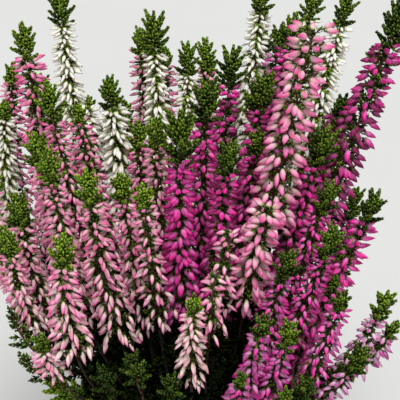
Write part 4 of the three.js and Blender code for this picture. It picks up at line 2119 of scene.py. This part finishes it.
@dataclass
class Soil:
    """The peat that fills the pot, with loose crumbs on top. Sizes are millimetres."""

    pot: Pot
    top: float = 86
    gap: float = 0.4
    sides: int = 72
    cuts: int = 7
    edge: float = 1
    waves: tuple[float, float, float] = (7, 9, 0.8)
    ripples: float = 0.35
    smooth_angle: float = 50
    crumbs: int = 650
    crumb_edge: float = 2.5
    crumb_lift: float = 0.1
    crumb_sizes: Span = (0.35, 1.1)
    crumb_off: float = 0.22
    seed: int = 12

    def brim(self, edge: float) -> float:
        """Radius of the soil's surface, a little in from the pot's wall."""
        return self.pot.wall_radius(self.top) - self.pot.wall - edge

    def surface(self, x: np.ndarray, y: np.ndarray) -> np.ndarray:
        """Lays low waves and ripples over the soil.

        Args:
            x: the places' x.
            y: the places' y.

        Returns:
            The height at each.
        """
        wide, deep, high = self.waves
        waves = np.sin(x / wide) * np.cos(y / deep) * high
        ripples = np.sin(x / 2.3 + y / 3.1) * np.cos(y / 1.9 - x / 4.7) * self.ripples
        return self.top + waves + ripples

    def build(self, material: bpy.types.Material) -> bpy.types.Object:
        """Builds the plug of soil with a crumbly top and dresses it.

        Args:
            material: the peat.

        Returns:
            The soil.
        """
        floor = self.pot.wall + self.gap
        foot = self.pot.wall_radius(floor) - self.pot.wall - self.gap
        brim = self.brim(self.gap)
        Bench.clear()
        bpy.ops.mesh.primitive_cylinder_add(
            vertices=self.sides,
            radius=foot * MM,
            depth=(self.top - floor) * MM,
            location=(0, 0, (self.top + floor) / 2 * MM),
            end_fill_type="TRIFAN",
        )
        made = Bench.current("potting_soil")
        bpy.ops.object.transform_apply(location=True, rotation=True, scale=True)
        Bench.pick(made, lambda co: co.z > (self.top - 1) * MM)
        Bench.widen(brim / foot, self.top * MM)
        bpy.ops.mesh.subdivide(number_cuts=self.cuts)
        bpy.ops.object.mode_set(mode="OBJECT")
        places = np.array([v.co for v in made.data.vertices]) / MM
        inside = places[:, 2] > self.top - 0.01
        inside &= np.hypot(places[:, 0], places[:, 1]) < brim - self.edge
        places[inside, 2] = self.surface(places[inside, 0], places[inside, 1])
        made.data.vertices.foreach_set("co", (places * MM).astype(np.float32).ravel())
        made.data.update()
        Bench.finish(made, "potting_soil", material, self.smooth_angle)
        dress(made, "soil", "peat")
        return made

    def crumb(self) -> Template:
        """Models one crumb: a small ball, knocked out of round.

        Returns:
            The crumb.
        """
        Bench.clear()
        bpy.ops.mesh.primitive_ico_sphere_add(subdivisions=1, radius=1.0)
        made = Bench.current("crumb")
        bpy.ops.object.mode_set(mode="EDIT")
        bpy.ops.mesh.select_all(action="SELECT")
        bpy.ops.transform.vertex_random(offset=self.crumb_off, seed=self.seed)
        return Template.taken_from(made, lambda co: 0.5)

    def litter(self, material: bpy.types.Material) -> bpy.types.Object:
        """Strews crumbs of peat over the soil.

        Args:
            material: the peat.

        Returns:
            The crumbs, as one piece.
        """
        crumb = self.crumb()
        rng = np.random.default_rng(self.seed)
        radius = self.brim(self.crumb_edge) * np.sqrt(rng.uniform(0, 1, self.crumbs))
        angle = rng.uniform(0, 2 * np.pi, self.crumbs)
        x, y = radius * np.cos(angle), radius * np.sin(angle)
        origins = np.column_stack([x, y, self.surface(x, y) + self.crumb_lift])
        least, gain = self.crumb_sizes
        size = least + gain * rng.uniform(0, 1, self.crumbs) ** 2
        batch = Batch()
        batch.copy(
            crumb,
            origins,
            rng.normal(0, 1, (self.crumbs, 3)),
            rng.uniform(0, 6, self.crumbs),
            size * rng.uniform(0.6, 1.2, self.crumbs),
            size,
            rng.uniform(0, 1, self.crumbs),
            rng.uniform(0, 1, self.crumbs),
        )
        piece = batch.build("soil_crumbs", material, smooth=False)
        dress(piece, "soil", "peat")
        return piece


# ---- Studio


@dataclass
class Studio:
    """A pale floor, soft light from above and in front, and a camera that looks down on the flowers."""

    target: tuple[float, float, float] = (-0.002, 0.0, 0.18)
    distance: float = 0.45
    elevation: float = 23.0
    lens: float = 101.25
    floor_size: float = 12.0
    world: float = 0.44
    sun_strength: float = 2.85
    sun_spread: float = 34.0
    sun_from: tuple[float, float, float] = (0.1, -0.8, 1.22)
    floor_colour: Colour = srgb(214, 215, 213)

    def add(self, name: str, data: bpy.types.ID) -> bpy.types.Object:
        """Puts a light's or a camera's data in the scene as an object.

        Args:
            name: the object's name.
            data: the light or the camera.

        Returns:
            The object.
        """
        made = bpy.data.objects.new(name, data)
        bpy.context.scene.collection.objects.link(made)
        return made

    def camera(self) -> None:
        """Sets the camera at its distance and elevation, looking at the flowers."""
        angle = math.radians(self.elevation)
        back = Vector((0, -math.cos(angle), math.sin(angle)))
        data = bpy.data.cameras.new("camera")
        data.lens = self.lens
        data.sensor_width = 36.0
        made = self.add("camera", data)
        made.location = Vector(self.target) + back * self.distance
        made.rotation_euler = (-back).to_track_quat("-Z", "Y").to_euler()
        bpy.context.scene.camera = made

    def window_light(self) -> None:
        """Adds one broad soft light from above, as even as the light of a large window."""
        data = bpy.data.lights.new("window_light", "SUN")
        data.energy = self.sun_strength
        data.angle = math.radians(self.sun_spread)
        made = self.add("window_light", data)
        made.location = self.sun_from
        made.rotation_euler = Vector(self.sun_from).to_track_quat("Z", "Y").to_euler()

    def build(self) -> None:
        """Lays the floor, lights it and sets the camera."""
        Bench.clear()
        bpy.ops.mesh.primitive_plane_add(size=self.floor_size, location=(0, 0, 0))
        floor = Bench.current("studio_floor")
        floor.data.materials.append(FloorPaint("floor_paint", self.floor_colour).material())
        world = bpy.context.scene.world or bpy.data.worlds.new("studio_air")
        bpy.context.scene.world = world
        world.use_nodes = True
        sky = world.node_tree.nodes["Background"]
        sky.inputs["Color"].default_value = WHITE
        sky.inputs["Strength"].default_value = self.world
        self.window_light()
        self.camera()
        bpy.context.scene.view_settings.view_transform = "Standard"


def main() -> None:
    """Builds the pot, the soil, the heathers and the studio in order, and reports each piece."""
    logging.basicConfig(level=logging.INFO, format="%(message)s")
    plastic = Plastic("nursery_plastic", srgb(24, 24, 26), srgb(96, 90, 82)).material()
    pot = Pot()
    pieces = [pot.build(plastic)]
    peat = Peat("potting_peat", srgb(14, 10, 7), srgb(44, 32, 22)).material()
    soil = Soil(pot)
    pieces += [soil.build(peat), soil.litter(peat)]
    pieces += Heather(Workshop()).build()
    for piece in pieces:
        LOG.info("%s: %d faces", piece.name, len(piece.data.polygons))
    Studio().build()


if __name__ == "__main__":
    main()
